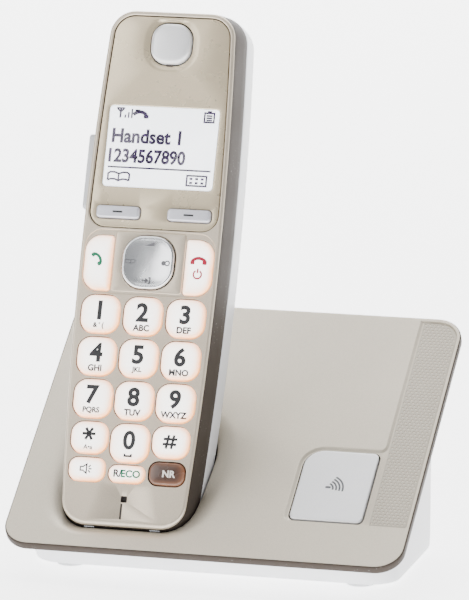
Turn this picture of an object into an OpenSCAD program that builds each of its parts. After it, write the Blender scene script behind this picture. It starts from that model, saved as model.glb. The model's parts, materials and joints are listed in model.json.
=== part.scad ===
// Cordless telephone: a keypad handset that stands in a sloping charging cradle.
// Millimetres, +Z up, front towards -Y. The origin is the middle of the bounding box's bottom face.
// Three working frames are used: the table's, the cradle face's (on_plate) and the handset's
// (in_handset: x across, y as depth behind the front face, z up along the handset from its foot).

/* [Cradle] */
// Width of the cradle's sloping face
cradle_w = 133; // [118:1:165]
// Length of the sloping face, front to back
slope_len = 110; // [96:1:132]
// Angle of the sloping face above the table
slope_angle = 34; // [28:0.5:36]
// Height of the face's front edge above the table
front_h = 11.5; // [11:0.5:16]
// Thickness of the face plate and its rim
rim_t = 3; // [2.5:0.1:4]
// Corner radius of the face plate
plate_r = 9; // [4:0.5:14]
// How far the lower shell stands in from the plate's side edges
shell_inset = 5.4; // [3:0.1:8]
// Wall of the lower shell
base_wall = 2.2; // [1.6:0.1:3]
// Gap under the lower shell, filled by the feet
foot_h = 1.2; // [0.8:0.1:2]
// Radius of a rubber foot
foot_r = 5; // [3:0.5:6]

/* [Handset] */
// Length of the handset
hand_len = 173.5; // [165:0.5:210]
// Greatest width of the handset
hand_w = 50; // [49:0.5:58]
// Thickness of the handset
hand_t = 27; // [25:0.5:34]
// Lean of the handset behind the vertical
lean = 22; // [16:0.5:26]
// Distance of the handset's middle to the left of the cradle's middle
hand_x = 27.7; // [26:0.1:32]
// Distance along the slope from the plate's front edge to the handset's foot
foot_s = 10.1; // [8:0.1:14]
// Distance from the handset's top to where it is widest
belly_drop = 83.5; // [74:0.5:94]
// How much each side of the handset narrows towards the foot
foot_taper = 3.24; // [1:0.01:4]
// How much each side of the handset narrows towards the top
top_taper = 2.79; // [1:0.01:3]
// Corner radius of the handset's outline
hand_r = 10; // [8:0.5:11]
// Wall of the handset's shells
hand_wall = 1.8; // [1.4:0.1:2.4]
// Depth behind the face at which the two shells part
part_d = 11; // [10:0.5:13]
// Radius that rounds the back of the handset
back_r = 8; // [5:0.5:9]
// Slope of the side walls, measured as the face's inset
side_draft = 1.6; // [0.8:0.1:2]

/* [Keys] */
// Width of a digit key
key_w = 12.5; // [9:0.1:13]
// Height of a digit key
key_h = 12.1; // [9:0.1:12.6]
// Gap between neighbouring columns of keys
col_gap = 1.9; // [1.5:0.1:3]
// Gap between neighbouring rows of keys
row_gap = 1.8; // [1.4:0.1:3]
// Height along the handset of the top row of digit keys
row1_z = 70.7; // [66:0.1:72]
// How far a key stands above the face
key_proud = 0.9; // [0.4:0.1:1.5]
// Travel of a key
key_travel = 0.8; // [0.3:0.1:0.8]
// Gap between a key and the edge of its hole
key_gap = 0.15; // [0.1:0.05:0.3]
// Width of the round-cornered navigator key
nav_w = 17; // [14:0.5:17]
// Height along the handset of the navigator's middle
nav_z = 88.4; // [86:0.1:92]

/* [Display] */
// Width of the display window
window_w = 37.2; // [30:0.1:38]
// Height of the display window
window_h = 27; // [20:0.5:28]
// Distance from the handset's top to the middle of the window
window_drop = 46.8; // [44:0.1:50]
// Distance from the handset's top to the middle of the soft keys
soft_drop = 68.9; // [66:0.1:72]
// Distance from the handset's top to the middle of the earpiece
ear_drop = 12.2; // [11:0.1:14]
// Width of the round-cornered earpiece dome
ear_w = 13.2; // [10:0.1:15]
// Distance from the handset's top to the lower edge of the display panel
panel_drop = 73.5; // [72:0.1:76]
// How far the display panel stands in from the handset's outline
panel_inset = 3.1; // [2.6:0.1:4]

/* [Power and fittings] */
// Diameter of a battery cell
cell_d = 10.5; // [8:0.1:12.8]
// Length of a battery cell
cell_len = 44.5; // [40:0.5:46]
// Height along the handset of the battery lid's lower edge
lid_z = 47; // [46:0.5:50]
// Length of the battery lid
lid_len = 60; // [56:0.5:64]
// Width of the battery lid
lid_w = 33; // [31:0.5:34]
// Half the spacing of the charging contacts
contact_x = 11; // [8:0.1:14]
// Width of the handset locator button
locator_w = 24; // [18:0.1:26]
// Length of the handset locator button along the slope
locator_len = 30; // [22:0.5:32]
// Travel of the handset locator button
locator_travel = 1; // [0.5:0.1:1.2]
// Width of the dimpled strip along the plate's right edge
strip_w = 13.2; // [8:0.1:14]

/* [Hidden] */
$fn = 48;
eps = 0.01;
play = 0.3;                                   // gap between parts that are pushed together
pocket_play = 0.5;                            // gap round the handset in the cradle
cup_wall = 2;                                 // wall of the cradle's pocket
ca = cos(slope_angle);
sa = sin(slope_angle);
cl = cos(lean);
sl = sin(lean);

// The handset's sections by depth: [depth, inset of the outline]
BACK = [for (a = [0:22.5:90]) [hand_t - back_r + back_r * sin(a), back_r - back_r * cos(a)]];
FRONT = [[0, side_draft], [part_d, 0]];

// The handset's foot in the table frame before centring
foot_y = foot_s * ca - 2 * sl;
foot_z = front_h + foot_s * sa - 2 * cl;
hand_y_max = max([for (s = BACK) foot_y + (hand_len - s[1]) * sl + s[0] * cl]);
plate_y_max = slope_len * ca + rim_t * sa;
y_shift = -max(hand_y_max, plate_y_max) / 2;

// Lower shell, in the table frame before centring
shell_x = cradle_w / 2 - shell_inset;
shell_y0 = 3.2;                               // front wall under the rim
shell_y1 = 15.4;                              // front wall at the bottom
shell_y2 = slope_len * ca - 16.9;             // rear wall at the bottom
shell_y3 = slope_len * ca - 15.2;             // rear wall under the plate
shell_r = 10;                                 // corner radius of the shell in plan
function under_plate(y) = front_h - rim_t * ca + (y - rim_t * sa) * tan(slope_angle);

// Depths inside the handset
face_floor = hand_wall;                       // inside of the face at the keypad
panel_front = 0.5;                            // the display panel is set back a little
panel_t = 1.2;
panel_floor = panel_front + panel_t + 1.3;    // inside of the face behind the panel
key_foot = 3.1;                               // back of a key at rest
flange_t = 0.9;
mat_front = key_foot + key_travel + 0.1;             // a key pressed home just reaches the mat
mat_t = 0.9;
board_front = mat_front + mat_t + 0.4;
board_t = 1.2;
shell_in = 2.5;                               // inset of the handset's inner walls
board_in = shell_in + 0.9;
belly_z = hand_len - belly_drop;

// Keypad positions along the handset
row_pitch = key_h + row_gap;
col_pitch = key_w + col_gap;
col_taper = 0.018;                            // the columns close up towards the foot
function row_z(r) = row1_z - r * row_pitch;
function col_x(c, z) = (c - 1) * (col_pitch - col_taper * (row1_z - z));
small_w = key_w - 0.9;
small_h = 7.2;
cut_h = 9.9;                                  // star and hash keys are lower than the digits
cut_z = row_z(3) + (key_h - cut_h) / 2;
last_z = cut_z - cut_h / 2 - row_gap - small_h / 2;
soft_z = hand_len - soft_drop;
soft_w = 14.6;
soft_h = 4.1;
soft_x = 12;
talk_w = 9.2;
talk_h = 18.2;
talk_x = nav_w / 2 + 3.9 + talk_w / 2;
talk_z = nav_z - 0.8;
window_z = hand_len - window_drop;
panel_z = hand_len - panel_drop;
ear_z = hand_len - ear_drop;

// Every plain push key: [name, x, z, width, height, corner radius, depth of its foot, flange]
DIGITS = [for (n = [1:9]) let (r = floor((n - 1) / 3), c = (n - 1) % 3)
    [str("key_", n), col_x(c, row_z(r)), row_z(r), key_w, key_h, 4, key_foot, 0.45]];
OTHERS = [
    ["key_star", col_x(0, cut_z), cut_z, key_w - 0.6, cut_h, 3.6, key_foot, 0.45],
    ["key_0", 0, row_z(3), key_w, key_h, 4, key_foot, 0.45],
    ["key_hash", col_x(2, cut_z), cut_z, key_w - 0.6, cut_h, 3.6, key_foot, 0.45],
    ["speaker_key", col_x(0, last_z), last_z, small_w, small_h, 2.6, key_foot, 0.45],
    ["recall_key", 0, last_z - 0.8, small_w, small_h - 2, 2.2, key_foot, 0.45],
    ["noise_key", col_x(2, last_z), last_z, small_w, small_h, 2.6, key_foot, 0.45],
    ["soft_key_left", -soft_x, soft_z, soft_w, soft_h, 1.2, key_foot, 0],
    ["soft_key_right", soft_x, soft_z, soft_w, soft_h, 1.2, key_foot, 0],
    ["talk_key", -talk_x, talk_z, talk_w, talk_h, 3.6, key_foot, 0.35],
    ["off_key", talk_x, talk_z, talk_w, talk_h, 3.6, key_foot, 0.35]
];
KEYS = concat(DIGITS, OTHERS);
nav_r = 6.4;
nav_foot = 3;
nav_play = 0.35;
pivot_d = 3.2;

// Charging blades under the pocket, in the handset's frame
blade_w = 2.4;
blade_d0 = 7;
blade_d1 = 9.6;
blade_top = -0.3;
blade_low = -3.9;
speaker_z = 31;                               // middle of the hands-free speaker

// Volume rocker in the handset's left wall
rocker_z = hand_len - 55;
rocker_len = 25;
rocker_d0 = 4.2;
rocker_d1 = 8.6;
rocker_proud = 0.9;
rocker_x = half_w(rocker_z) + 0.22;
rocker_back = half_w(rocker_z + rocker_len / 2) - shell_in - play;
rocker_pin = rocker_back - 0.6;               // the pin that the rocker turns on

// Batteries and lid
lid_t = 1.6;
cell_r = cell_d / 2;
cell_x = cell_r + 0.35;
cell_depth = hand_t - lid_t - 1 - cell_r;
bay_floor = cell_depth - cell_r - 0.5;
bay_z0 = lid_z + 3;
bay_z1 = bay_z0 + cell_len + 4.2;
bay_w = 2 * (cell_x + cell_r) + 1.6;

// Screws that join the two handset shells: [x, z]
HAND_SCREWS = [[0, soft_z - 1], [-13, 8], [13, 8]];
boss_r = 2;
screw_r = 0.95;
screw_play = 0.05;
boss_end = 11.9;                              // depth at which the front shell's bosses stop
head_r = 1.9;

// Base details, in the table frame before centring
board_z = foot_h + base_wall + 5.6;
base_board_t = 1.6;
parts_z = board_z + base_board_t;
board_x0 = 3;
board_x1 = shell_x - 10;
board_y0 = 24;
board_y1 = shell_y2 - 4;
BASE_SCREWS = [[-shell_x + 23, shell_y2 - 9], [-6, shell_y2 - 9], [6, 20], [shell_x - 5.7, 50]];
FEET = [for (x = [-1, 1], y = [shell_y1 + 6.5, shell_y2 - 6.5]) [x * (shell_x - 12.5), y]];
screw_base_r = 1.2;
screw_top = 13;                               // upper end of a base screw
cover_boss_z = foot_h + base_wall + 3;        // lower end of the cover's screw bosses
jack_x = 19;
jack_w = 13;
jack_h = 11.5;
jack_y0 = shell_y2 - 15;
jack_y1 = shell_y2 - 0.3;
power_x = 40;
power_w = 9.4;
power_h = 10.6;
power_r = 3.1;
power_z = parts_z + 5.6;

// Locator button and strip, on the plate: x across, y up the slope
locator_x = cradle_w / 2 - 28.3;
locator_y = 33.4;
button_play = 0.35;
strip_x = cradle_w / 2 - strip_w / 2 - 0.4;
strip_y0 = 17.8;
strip_y1 = slope_len - 0.8;
strip_t = 1.4;
strip_drop = 0.5;

FIXED_NODES = ["base_top_cover", "base_bottom_shell", "dimpled_strip", "locator_button",
    "button_bracket", "locator_switch", "charge_contact_left", "charge_contact_right",
    "contact_holder", "base_circuit_board", "line_jack", "power_jack", "rf_shield_can",
    "board_components", "base_antenna", "rubber_feet", "base_screws", "handset_front_shell",
    "handset_rear_shell", "display_panel", "display_lens", "lcd_module", "backlight_guide",
    "earpiece_cap", "receiver_capsule", "navigator_key", "navigator_pivot", "volume_rocker",
    "keypad_mat", "handset_circuit_board", "handset_components", "key_domes", "battery_cover",
    "batteries", "battery_contacts", "handset_charge_contacts", "microphone",
    "handsfree_speaker", "handset_screws"];

CHAMPAGNE = [0.80, 0.77, 0.71];
WHITE = [0.93, 0.93, 0.92];
SILVER = [0.72, 0.73, 0.75];
BOARD_GREEN = [0.10, 0.35, 0.20];
DARK = [0.15, 0.14, 0.14];
STEEL = [0.66, 0.67, 0.69];
GOLD = [0.85, 0.70, 0.35];

// ---- Frames and outlines ----

module in_table() {
    translate([0, y_shift, 0]) children();
}

module in_handset() {
    in_table() translate([-hand_x, foot_y, foot_z]) rotate([-lean, 0, 0]) children();
}

module on_plate() {
    in_table() translate([0, 0, front_h]) rotate([slope_angle, 0, 0]) children();
}

// Extrudes an x-z outline between two depths of the handset
module slab(d0, d1) {
    translate([0, d1, 0]) rotate([90, 0, 0]) linear_extrude(d1 - d0) children();
}

module rounded(w, h, r) {
    square([w - 2 * r, h], center = true);
    square([w, h - 2 * r], center = true);
    for (x = [-1, 1], y = [-1, 1]) translate([x * (w / 2 - r), y * (h / 2 - r)]) circle(r);
}

// The handset's outline, barrel-sided with round corners, set in by i
function half_w(z) = hand_w / 2 - (z < belly_z
    ? foot_taper * pow((belly_z - z) / belly_z, 2) : top_taper * pow((z - belly_z) / belly_drop, 2));
function corner(sx, z, r, a0) = [for (a = [0:15:90])
    [sx * (half_w(z) - hand_r) + r * cos(a0 + a), z + r * sin(a0 + a)]];
function flank(sx, z0, z1, i) = [for (n = [1:11]) let (z = z0 + (z1 - z0) * n / 12)
    [sx * (half_w(z) - i), z]];
function outline(i) = let (r = hand_r - i, low = hand_r, high = hand_len - hand_r) concat(
    corner(1, low, r, -90), flank(1, low, high, i), corner(1, high, r, 0),
    corner(-1, high, r, 90), flank(-1, high, low, i), corner(-1, low, r, 180));

// Height of the handset's foot at depth d in front of the parting
function foot_edge(d) = side_draft * (1 - d / part_d);

module hand_body(sections, grow) {
    hull() for (s = sections) slab(s[0], s[0] + eps) polygon(outline(s[1] - grow));
}

// The whole handset's shape grown by a clearance, for the pocket and its wall
module hand_envelope(grow) {
    back = [for (a = [0:22.5:90])
        [hand_t - back_r + (back_r + grow) * sin(a), back_r - (back_r + grow) * cos(a) + grow]];
    hand_body(concat([[-grow, side_draft], [part_d, 0]], back), grow);
}

module key_shape(k, grow) {
    translate([k[1], k[2]]) rounded(k[3] + 2 * grow, k[4] + 2 * grow, k[5] + grow);
}

module push_key(k) {
    in_handset() {
        slab(-key_proud, k[6]) key_shape(k, 0);
        if (k[7] > 0) slab(k[6] - flange_t, k[6]) key_shape(k, k[7]);
    }
}

// ---- Cradle ----

module plate_outline(i) {
    translate([0, slope_len / 2]) rounded(cradle_w - 2 * i, slope_len - 2 * i, plate_r - i);
}

// The locator button's outline, with one large corner at the upper left
module locator_outline(grow) {
    w = locator_w + 2 * grow;
    h = locator_len + 2 * grow;
    big = 6.5 + grow;
    translate([locator_x, locator_y]) {
        difference() {
            rounded(w, h, 2 + grow);
            translate([-w / 2 - 1, h / 2 - big]) square([big + 1, big + 1]);
        }
        translate([big - w / 2, h / 2 - big]) circle(big);
    }
}

module strip_outline(grow) {
    intersection() {
        plate_outline(0.8 - grow);
        translate([strip_x - strip_w / 2 - grow, strip_y0 - grow])
            square([strip_w + 2 * grow, strip_y1 - strip_y0 + 2 * grow]);
    }
}

module base_top_cover() {
    color(CHAMPAGNE) difference() {
        union() {
            on_plate() translate([0, 0, -rim_t]) linear_extrude(rim_t) plate_outline(0);
            intersection() {
                in_handset() hand_envelope(pocket_play + cup_wall);
                on_plate() translate([-cradle_w, -slope_len, -2 * slope_len])
                    cube([2 * cradle_w, 3 * slope_len, 2 * slope_len - 1]);
                translate([-cradle_w, -slope_len, foot_h + base_wall + play])
                    cube([2 * cradle_w, 3 * slope_len, 3 * slope_len]);
            }
            cover_bosses();
        }
        in_handset() hand_envelope(pocket_play);
        on_plate() {
            translate([0, 0, -2 * rim_t]) linear_extrude(3 * rim_t) locator_outline(button_play);
            translate([0, 0, -strip_t - strip_drop]) linear_extrude(rim_t) strip_outline(0.1);
        }
        in_table() for (s = BASE_SCREWS)
            translate([s[0], s[1], 0]) cylinder(r = screw_base_r + screw_play, h = screw_top);
        in_handset() for (x = [-contact_x, contact_x])
            slab(blade_d0 - play, blade_d1 + play)
                translate([x, -2]) square([blade_w + 2 * play, 8], center = true);
    }
}

// Screw bosses that hang from the underside of the face plate
module cover_bosses() {
    in_table() intersection() {
        for (s = BASE_SCREWS)
            translate([s[0], s[1], cover_boss_z]) cylinder(r = 2.7, h = 2 * slope_len);
        rotate([90, 0, 90]) translate([0, 0, -cradle_w]) linear_extrude(2 * cradle_w)
            polygon([[0, 0], [slope_len, 0], [slope_len, under_plate(slope_len) + 1],
                     [0, under_plate(0) + 1]]);
    }
}

// The lower shell as a side profile cut to its plan, set in by w on every side
module shell_block(w, top) {
    intersection() {
        rotate([90, 0, 90]) translate([0, 0, -cradle_w]) linear_extrude(2 * cradle_w)
            polygon([[shell_y0 + 1.7 * w, under_plate(shell_y0 + 1.7 * w) + top],
                     [shell_y1 + 0.9 * w, foot_h + w],
                     [shell_y2 - w, foot_h + w],
                     [shell_y3 - w, under_plate(shell_y3 - w) + top]]);
        translate([0, (shell_y0 + shell_y3) / 2, 0]) linear_extrude(slope_len)
            rounded(2 * (shell_x - w), shell_y3 - shell_y0 - 2 * w - 1, shell_r - w);
    }
}

module base_bottom_shell() {
    color(WHITE) in_table() difference() {
        union() {
            difference() {
                shell_block(0, -0.05);
                shell_block(base_wall, 1);
            }
            for (s = BASE_SCREWS)
                translate([s[0], s[1], foot_h + eps]) cylinder(r = 3.4, h = cover_boss_z - foot_h - 0.1);
            for (x = [board_x0 + 4, board_x1 - 4], y = [board_y0 + 4, board_y1 - 4])
                translate([x, y, foot_h + eps]) cylinder(r = 2.4, h = board_z - foot_h - 0.05);
        }
        for (s = BASE_SCREWS) translate([s[0], s[1], 0]) {
            cylinder(r = 1.6, h = cover_boss_z + 1);
            cylinder(r = 2.7, h = foot_h + 2);
        }
        for (f = FEET) translate([f[0], f[1], 0]) cylinder(r = foot_r + 0.05, h = foot_h + 1);
        translate([jack_x - jack_w / 2 - play, shell_y2 - 6, parts_z - play])
            cube([jack_w + 2 * play, 12, jack_h + 2 * play]);
        translate([power_x - power_w / 2 - play, shell_y2 - 6, parts_z - play])
            cube([power_w + 2 * play, 12, power_h + 2 * play]);
    }
}

module dimpled_strip() {
    color([0.68, 0.65, 0.60]) on_plate()
        translate([0, 0, -strip_t - strip_drop + 0.02]) linear_extrude(strip_t) strip_outline(0);
}

module locator_button() {
    color(SILVER) on_plate() {
        translate([0, 0, -rim_t - 0.3]) linear_extrude(rim_t + 0.5) locator_outline(0);
        translate([0, 0, -rim_t - 1.2]) linear_extrude(0.9) locator_outline(1.1);
        translate([locator_x, locator_y, -rim_t - 3]) cylinder(r = 2, h = 2);
    }
}

// A small frame that carries the switch behind the locator button
module button_bracket() {
    deck = -rim_t - 8;
    post_x = locator_w / 2 + 3.6;
    color(DARK) on_plate() {
        translate([locator_x, locator_y, deck + 0.75]) cube([2 * post_x + 4, 12, 1.5], center = true);
        for (x = [-post_x, post_x])
            translate([locator_x + x, locator_y, deck]) cylinder(r = 2, h = 7.95);
    }
}

module locator_switch() {
    deck_top = -rim_t - 6.45;
    color(DARK) on_plate() translate([locator_x, locator_y, deck_top]) {
        translate([0, 0, 0.9]) cube([6, 6, 1.8], center = true);
        cylinder(r = 1.6, h = 3.35 - locator_travel);
    }
}

// A spring-loaded charging blade that the handset's contact rests on
module charge_blade(x) {
    color(GOLD) in_handset() slab(blade_d0, blade_d1) {
        translate([x - blade_w / 2, blade_low]) square([blade_w, blade_top - blade_low - 0.8]);
        translate([x, blade_top - 1.2]) circle(1.2);
    }
}

module charge_contact_left() {
    charge_blade(-contact_x);
}

module charge_contact_right() {
    charge_blade(contact_x);
}

// The bar under the pocket that guides both charging blades
module contact_holder() {
    color(DARK) in_handset() difference() {
        slab(blade_d0 - 1.6, blade_d1 + 2)
            translate([0, -3.2]) square([2 * contact_x + 8, 1.2], center = true);
        for (x = [-contact_x, contact_x]) slab(blade_d0 - play, blade_d1 + play)
            translate([x, -3.2]) square([blade_w + 2 * play, 6], center = true);
    }
}

module base_circuit_board() {
    color(BOARD_GREEN) in_table() difference() {
        translate([board_x0, board_y0, board_z])
            cube([board_x1 - board_x0, board_y1 - board_y0, base_board_t]);
        translate([board_x0 + 10, board_y0 - 1, board_z - 1]) cube([8, 3, 4]);
    }
}

module line_jack() {
    color(DARK) in_table() difference() {
        translate([jack_x - jack_w / 2, jack_y0, parts_z + 0.02])
            cube([jack_w, jack_y1 - jack_y0, jack_h]);
        translate([jack_x - 4.9, jack_y0 + 2.5, parts_z + 2.2]) cube([9.8, 20, 6.8]);
        translate([jack_x - 3, jack_y0 + 2.5, parts_z + 8.9]) cube([6, 20, 1.4]);
    }
}

module power_jack() {
    color(DARK) in_table() {
        difference() {
            translate([power_x - power_w / 2, jack_y0, parts_z + 0.02])
                cube([power_w, jack_y1 - jack_y0, power_h]);
            translate([power_x, jack_y0 + 5, power_z]) rotate([-90, 0, 0]) cylinder(r = power_r, h = 20);
        }
        translate([power_x, jack_y0 + 4, power_z]) rotate([-90, 0, 0]) cylinder(r = 1, h = 9);
    }
}

module rf_shield_can() {
    color(STEEL) in_table() difference() {
        translate([board_x0 + 5, board_y0 + 6, parts_z + 0.02]) cube([22, 18, 3]);
        translate([board_x0 + 5.4, board_y0 + 6.4, parts_z - 1]) cube([21.2, 17.2, 3.6]);
    }
}

// Transformer, capacitors and chips on the cradle's board
module board_components() {
    color(DARK) in_table() translate([board_x0, board_y0, parts_z + 0.02]) {
        translate([31, 6, 0]) cube([11, 11, 8]);
        for (n = [0:2]) translate([5 + 9.5 * n, 30, 0]) cylinder(r = 3.4, h = 9);
        translate([34, 24, 0]) cube([8, 8, 1.4]);
        translate([45, 6, 0]) cube([3, 14, 2.4]);
    }
}

module base_antenna() {
    color(GOLD) in_table() translate([board_x1 - 5, board_y0 + 26, parts_z + 0.02]) {
        cube([1, 12, 3]);
        cube([1, 1.6, 14]);
        translate([0, 0, 12.4]) cube([1, 14, 1.6]);
    }
}

module rubber_feet() {
    color(DARK) in_table() for (f = FEET)
        translate([f[0], f[1], 0]) cylinder(r = foot_r, h = foot_h + 0.95);
}

module base_screws() {
    color(STEEL) in_table() for (s = BASE_SCREWS) translate([s[0], s[1], foot_h + 0.3]) {
        cylinder(r = 2.4, h = 1.65);
        cylinder(r = screw_base_r, h = screw_top - foot_h - 0.5);
    }
}

// ---- Handset ----

// Everything that is cut through the face for keys
module key_holes() {
    for (k = KEYS) slab(-2, 4) key_shape(k, key_gap);
    slab(-3, 4) translate([0, nav_z]) rounded(nav_w + 2 * nav_play, nav_w + 2 * nav_play, nav_r + nav_play);
}

module above(z0) {
    translate([-hand_w, z0]) square([2 * hand_w, hand_len]);
}

module below(z1) {
    translate([-hand_w, z1 - 2 * hand_len]) square([2 * hand_w, 2 * hand_len]);
}

module handset_front_shell() {
    color(CHAMPAGNE) in_handset() difference() {
        union() {
            difference() {
                hand_body(FRONT, 0);
                slab(face_floor, part_d + 1) intersection() {
                    polygon(outline(shell_in));
                    below(panel_z - 1.2);
                }
                slab(panel_floor, part_d + 1) polygon(outline(shell_in));
            }
            for (s = HAND_SCREWS) slab(face_floor - 0.1, boss_end) translate(s) circle(boss_r);
        }
        slab(-1, panel_front + panel_t + 0.02) intersection() {
            polygon(outline(panel_inset - 0.1));
            above(panel_z);
        }
        key_holes();
        slab(0, 4) translate([0, window_z]) rounded(window_w - 1, window_h - 1, 1.5);
        slab(0, 4) translate([0, ear_z]) rounded(ear_w + 0.2, ear_w + 0.2, 5);
        for (s = HAND_SCREWS) slab(face_floor + 1.6, boss_end + 1) translate(s) circle(screw_r + screw_play);
        slab(-1, 4) translate([0, 10.7]) square(2, center = true);
        slab(-1, 0.5) translate([-1, 2.2]) square([0.6, 7.6]);
        rocker_slot();
    }
}

module rocker_slot() {
    translate([-hand_w, rocker_d0 - play, rocker_z - rocker_len / 2 - play])
        cube([hand_w / 2 + shell_in + 1.5, rocker_d1 - rocker_d0 + 2 * play, rocker_len + 2 * play]);
}

module handset_rear_shell() {
    inner = [for (s = BACK) [s[0] - hand_wall, s[1] + hand_wall]];
    color(WHITE) in_handset() difference() {
        union() {
            difference() {
                hand_body(concat([[part_d + 0.05, 0.12]], BACK), 0);
                hand_body(concat([[part_d - 1, shell_in]], inner), 0);
            }
            slab(bay_floor - 1.2, hand_t - 1) translate([0, (bay_z0 + bay_z1) / 2])
                square([bay_w + 2.4, bay_z1 - bay_z0 + 2.4], center = true);
            slab(hand_t - 3.6, hand_t - 1) translate([0, lid_z + lid_len / 2])
                square([lid_w + 2, lid_len + 2], center = true);
            for (s = HAND_SCREWS) slab(boss_end + 0.1, hand_t - 1.5) translate(s) circle(head_r + 1.1);
        }
        slab(bay_floor, hand_t + 1) translate([0, (bay_z0 + bay_z1) / 2])
            square([bay_w, bay_z1 - bay_z0], center = true);
        slab(hand_t - lid_t - 0.1, hand_t + 1) translate([0, lid_z + lid_len / 2])
            rounded(lid_w + 0.4, lid_len + 0.4, 3.2);
        for (s = HAND_SCREWS) {
            slab(boss_end, hand_t) translate(s) circle(screw_r + 0.3);
            slab(boss_end + 1.6, hand_t + 1) translate(s) circle(head_r + 0.2);
        }
        for (n = [-3:3]) slab(hand_t - 4, hand_t + 1) translate([0, speaker_z + 2.2 * n])
            square([10 - abs(n), 1], center = true);
    }
}

module display_panel() {
    color(CHAMPAGNE) in_handset() difference() {
        slab(panel_front, panel_front + panel_t) intersection() {
            polygon(outline(panel_inset));
            above(panel_z + 0.1);
        }
        slab(0, 4) translate([0, window_z]) rounded(window_w + 0.2, window_h + 0.2, 1.6);
        slab(0, 4) translate([0, ear_z]) rounded(ear_w + 0.2, ear_w + 0.2, 5);
        key_holes();
    }
}

module display_lens() {
    color([0.9, 0.93, 0.95, 0.5]) in_handset()
        slab(panel_front - 0.1, panel_front + panel_t)
            translate([0, window_z]) rounded(window_w, window_h, 1.5);
}

module lcd_module() {
    color([0.92, 0.95, 0.97]) in_handset()
        slab(panel_floor + 0.15, panel_floor + 1.2)
            translate([0, window_z]) square([window_w + 2.6, window_h + 4], center = true);
}

module backlight_guide() {
    color(WHITE) in_handset()
        slab(panel_floor + 1.25, board_front - 0.1)
            translate([0, window_z]) square([window_w + 2, window_h + 4], center = true);
}

module earpiece_cap() {
    color(SILVER) in_handset() {
        slab(-1.2, panel_floor) translate([0, ear_z]) rounded(ear_w, ear_w, 4.9);
    }
}

module receiver_capsule() {
    color(DARK) in_handset() slab(panel_floor + 0.1, board_front - 0.1)
        translate([0, ear_z - 1.4]) circle(7);
}

module navigator_key() {
    color(SILVER) in_handset() slab(-1.2, nav_foot) translate([0, nav_z]) rounded(nav_w, nav_w, nav_r);
}

// The cross of two round pins that lets the navigator rock both ways
module navigator_pivot() {
    pin_r = (mat_front - 0.15 - pivot_d) / 2;
    color(DARK) in_handset() translate([0, pivot_d + pin_r, nav_z]) {
        cube([1.8, 1.9 * pin_r, 1.8], center = true);
        cylinder(r = pin_r, h = 5, center = true);
        rotate([0, 90, 0]) cylinder(r = pin_r, h = 5, center = true);
    }
}

// A bar with a round pin across its back, and a short flange that keeps it in its slot
module volume_rocker() {
    face = rocker_x + rocker_proud;
    color(WHITE) in_handset() translate([0, 0, rocker_z]) {
        translate([-face, rocker_d0, -rocker_len / 2])
            cube([face - rocker_back, rocker_d1 - rocker_d0, rocker_len]);
        translate([-rocker_back - eps, rocker_d0 - 0.7, -4])
            cube([0.5, rocker_d1 - rocker_d0 + 1.4, 8]);
        translate([-rocker_pin, rocker_d0 - 1.2, 0]) rotate([-90, 0, 0])
            cylinder(r = 0.9, h = rocker_d1 - rocker_d0 + 2.4);
    }
}

// Room for the rocker's inward swing, cut from the boards behind it
module rocker_notch() {
    translate([-hand_w, rocker_z - rocker_len / 2 - 3])
        square([hand_w - rocker_pin + 1.93, rocker_len + 6]);
}

module keypad_mat() {
    color([0.85, 0.85, 0.83]) in_handset() slab(mat_front, mat_front + mat_t) difference() {
        intersection() {
            polygon(outline(board_in));
            above(14);
            below(soft_z + 3);
        }
        rocker_notch();
        for (s = HAND_SCREWS) translate(s) circle(boss_r + 0.4);
    }
}

module handset_circuit_board() {
    color(BOARD_GREEN) in_handset() slab(board_front, board_front + board_t) difference() {
        polygon(outline(board_in));
        rocker_notch();
        for (s = HAND_SCREWS) translate(s) circle(boss_r + 0.4);
    }
}

// Screening can, chips and the headset socket's solder block behind the board
module handset_components() {
    back = board_front + board_t;
    color(STEEL) in_handset() {
        slab(back + 0.02, back + 3) translate([0, hand_len - 34]) square([26, 22], center = true);
        slab(back + 0.02, back + 1.6) translate([-8, 66]) square([9, 9], center = true);
        slab(back + 0.02, back + 1.6) translate([9, 62]) square([7, 12], center = true);
    }
}

module key_domes() {
    color(STEEL) in_handset() for (k = concat(KEYS, [["navigator", 0, nav_z]]))
        slab(board_front - 0.3, board_front - 0.02) translate([k[1], k[2]]) circle(1.9);
}

// The lid's lower edge is a round bead, which it tips out on
module battery_cover() {
    color(WHITE) in_handset() {
        slab(hand_t - lid_t, hand_t) intersection() {
            translate([0, lid_z + lid_len / 2]) rounded(lid_w, lid_len, 3);
            above(lid_z + lid_t / 2);
        }
        translate([0, hand_t - lid_t / 2, lid_z + lid_t / 2]) rotate([0, 90, 0])
            cylinder(r = lid_t / 2, h = lid_w - 4, center = true);
    }
}

module batteries() {
    color([0.25, 0.45, 0.35]) in_handset() for (x = [-cell_x, cell_x])
        translate([x, cell_depth, bay_z0 + 2]) {
            cylinder(r = cell_r, h = cell_len - 1);
            cylinder(r = 1.9, h = cell_len);
        }
}

module battery_contacts() {
    color(STEEL) in_handset() for (x = [-cell_x, cell_x]) {
        translate([x, cell_depth, bay_z0 + 0.1]) cylinder(r = 3.4, h = 1.85);
        translate([x, cell_depth, bay_z1 - 2.1]) cylinder(r = 3.4, h = 2);
    }
}

// Two plates at the foot that meet the cradle's charging blades
module handset_charge_contacts() {
    color(GOLD) in_handset() for (x = [-contact_x, contact_x])
        translate([x - 1.7, 0, -eps]) rotate([90, 0, 90]) linear_extrude(3.4)
            polygon([[1, foot_edge(1)], [blade_d1 + 1, foot_edge(blade_d1 + 1)],
                     [blade_d1 + 1, foot_edge(blade_d1 + 1) - 0.25], [1, foot_edge(1) - 0.25]]);
}

module microphone() {
    color(DARK) in_handset() slab(face_floor + 0.3, board_front - 0.1) translate([0, 10.7]) circle(2);
}

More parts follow.
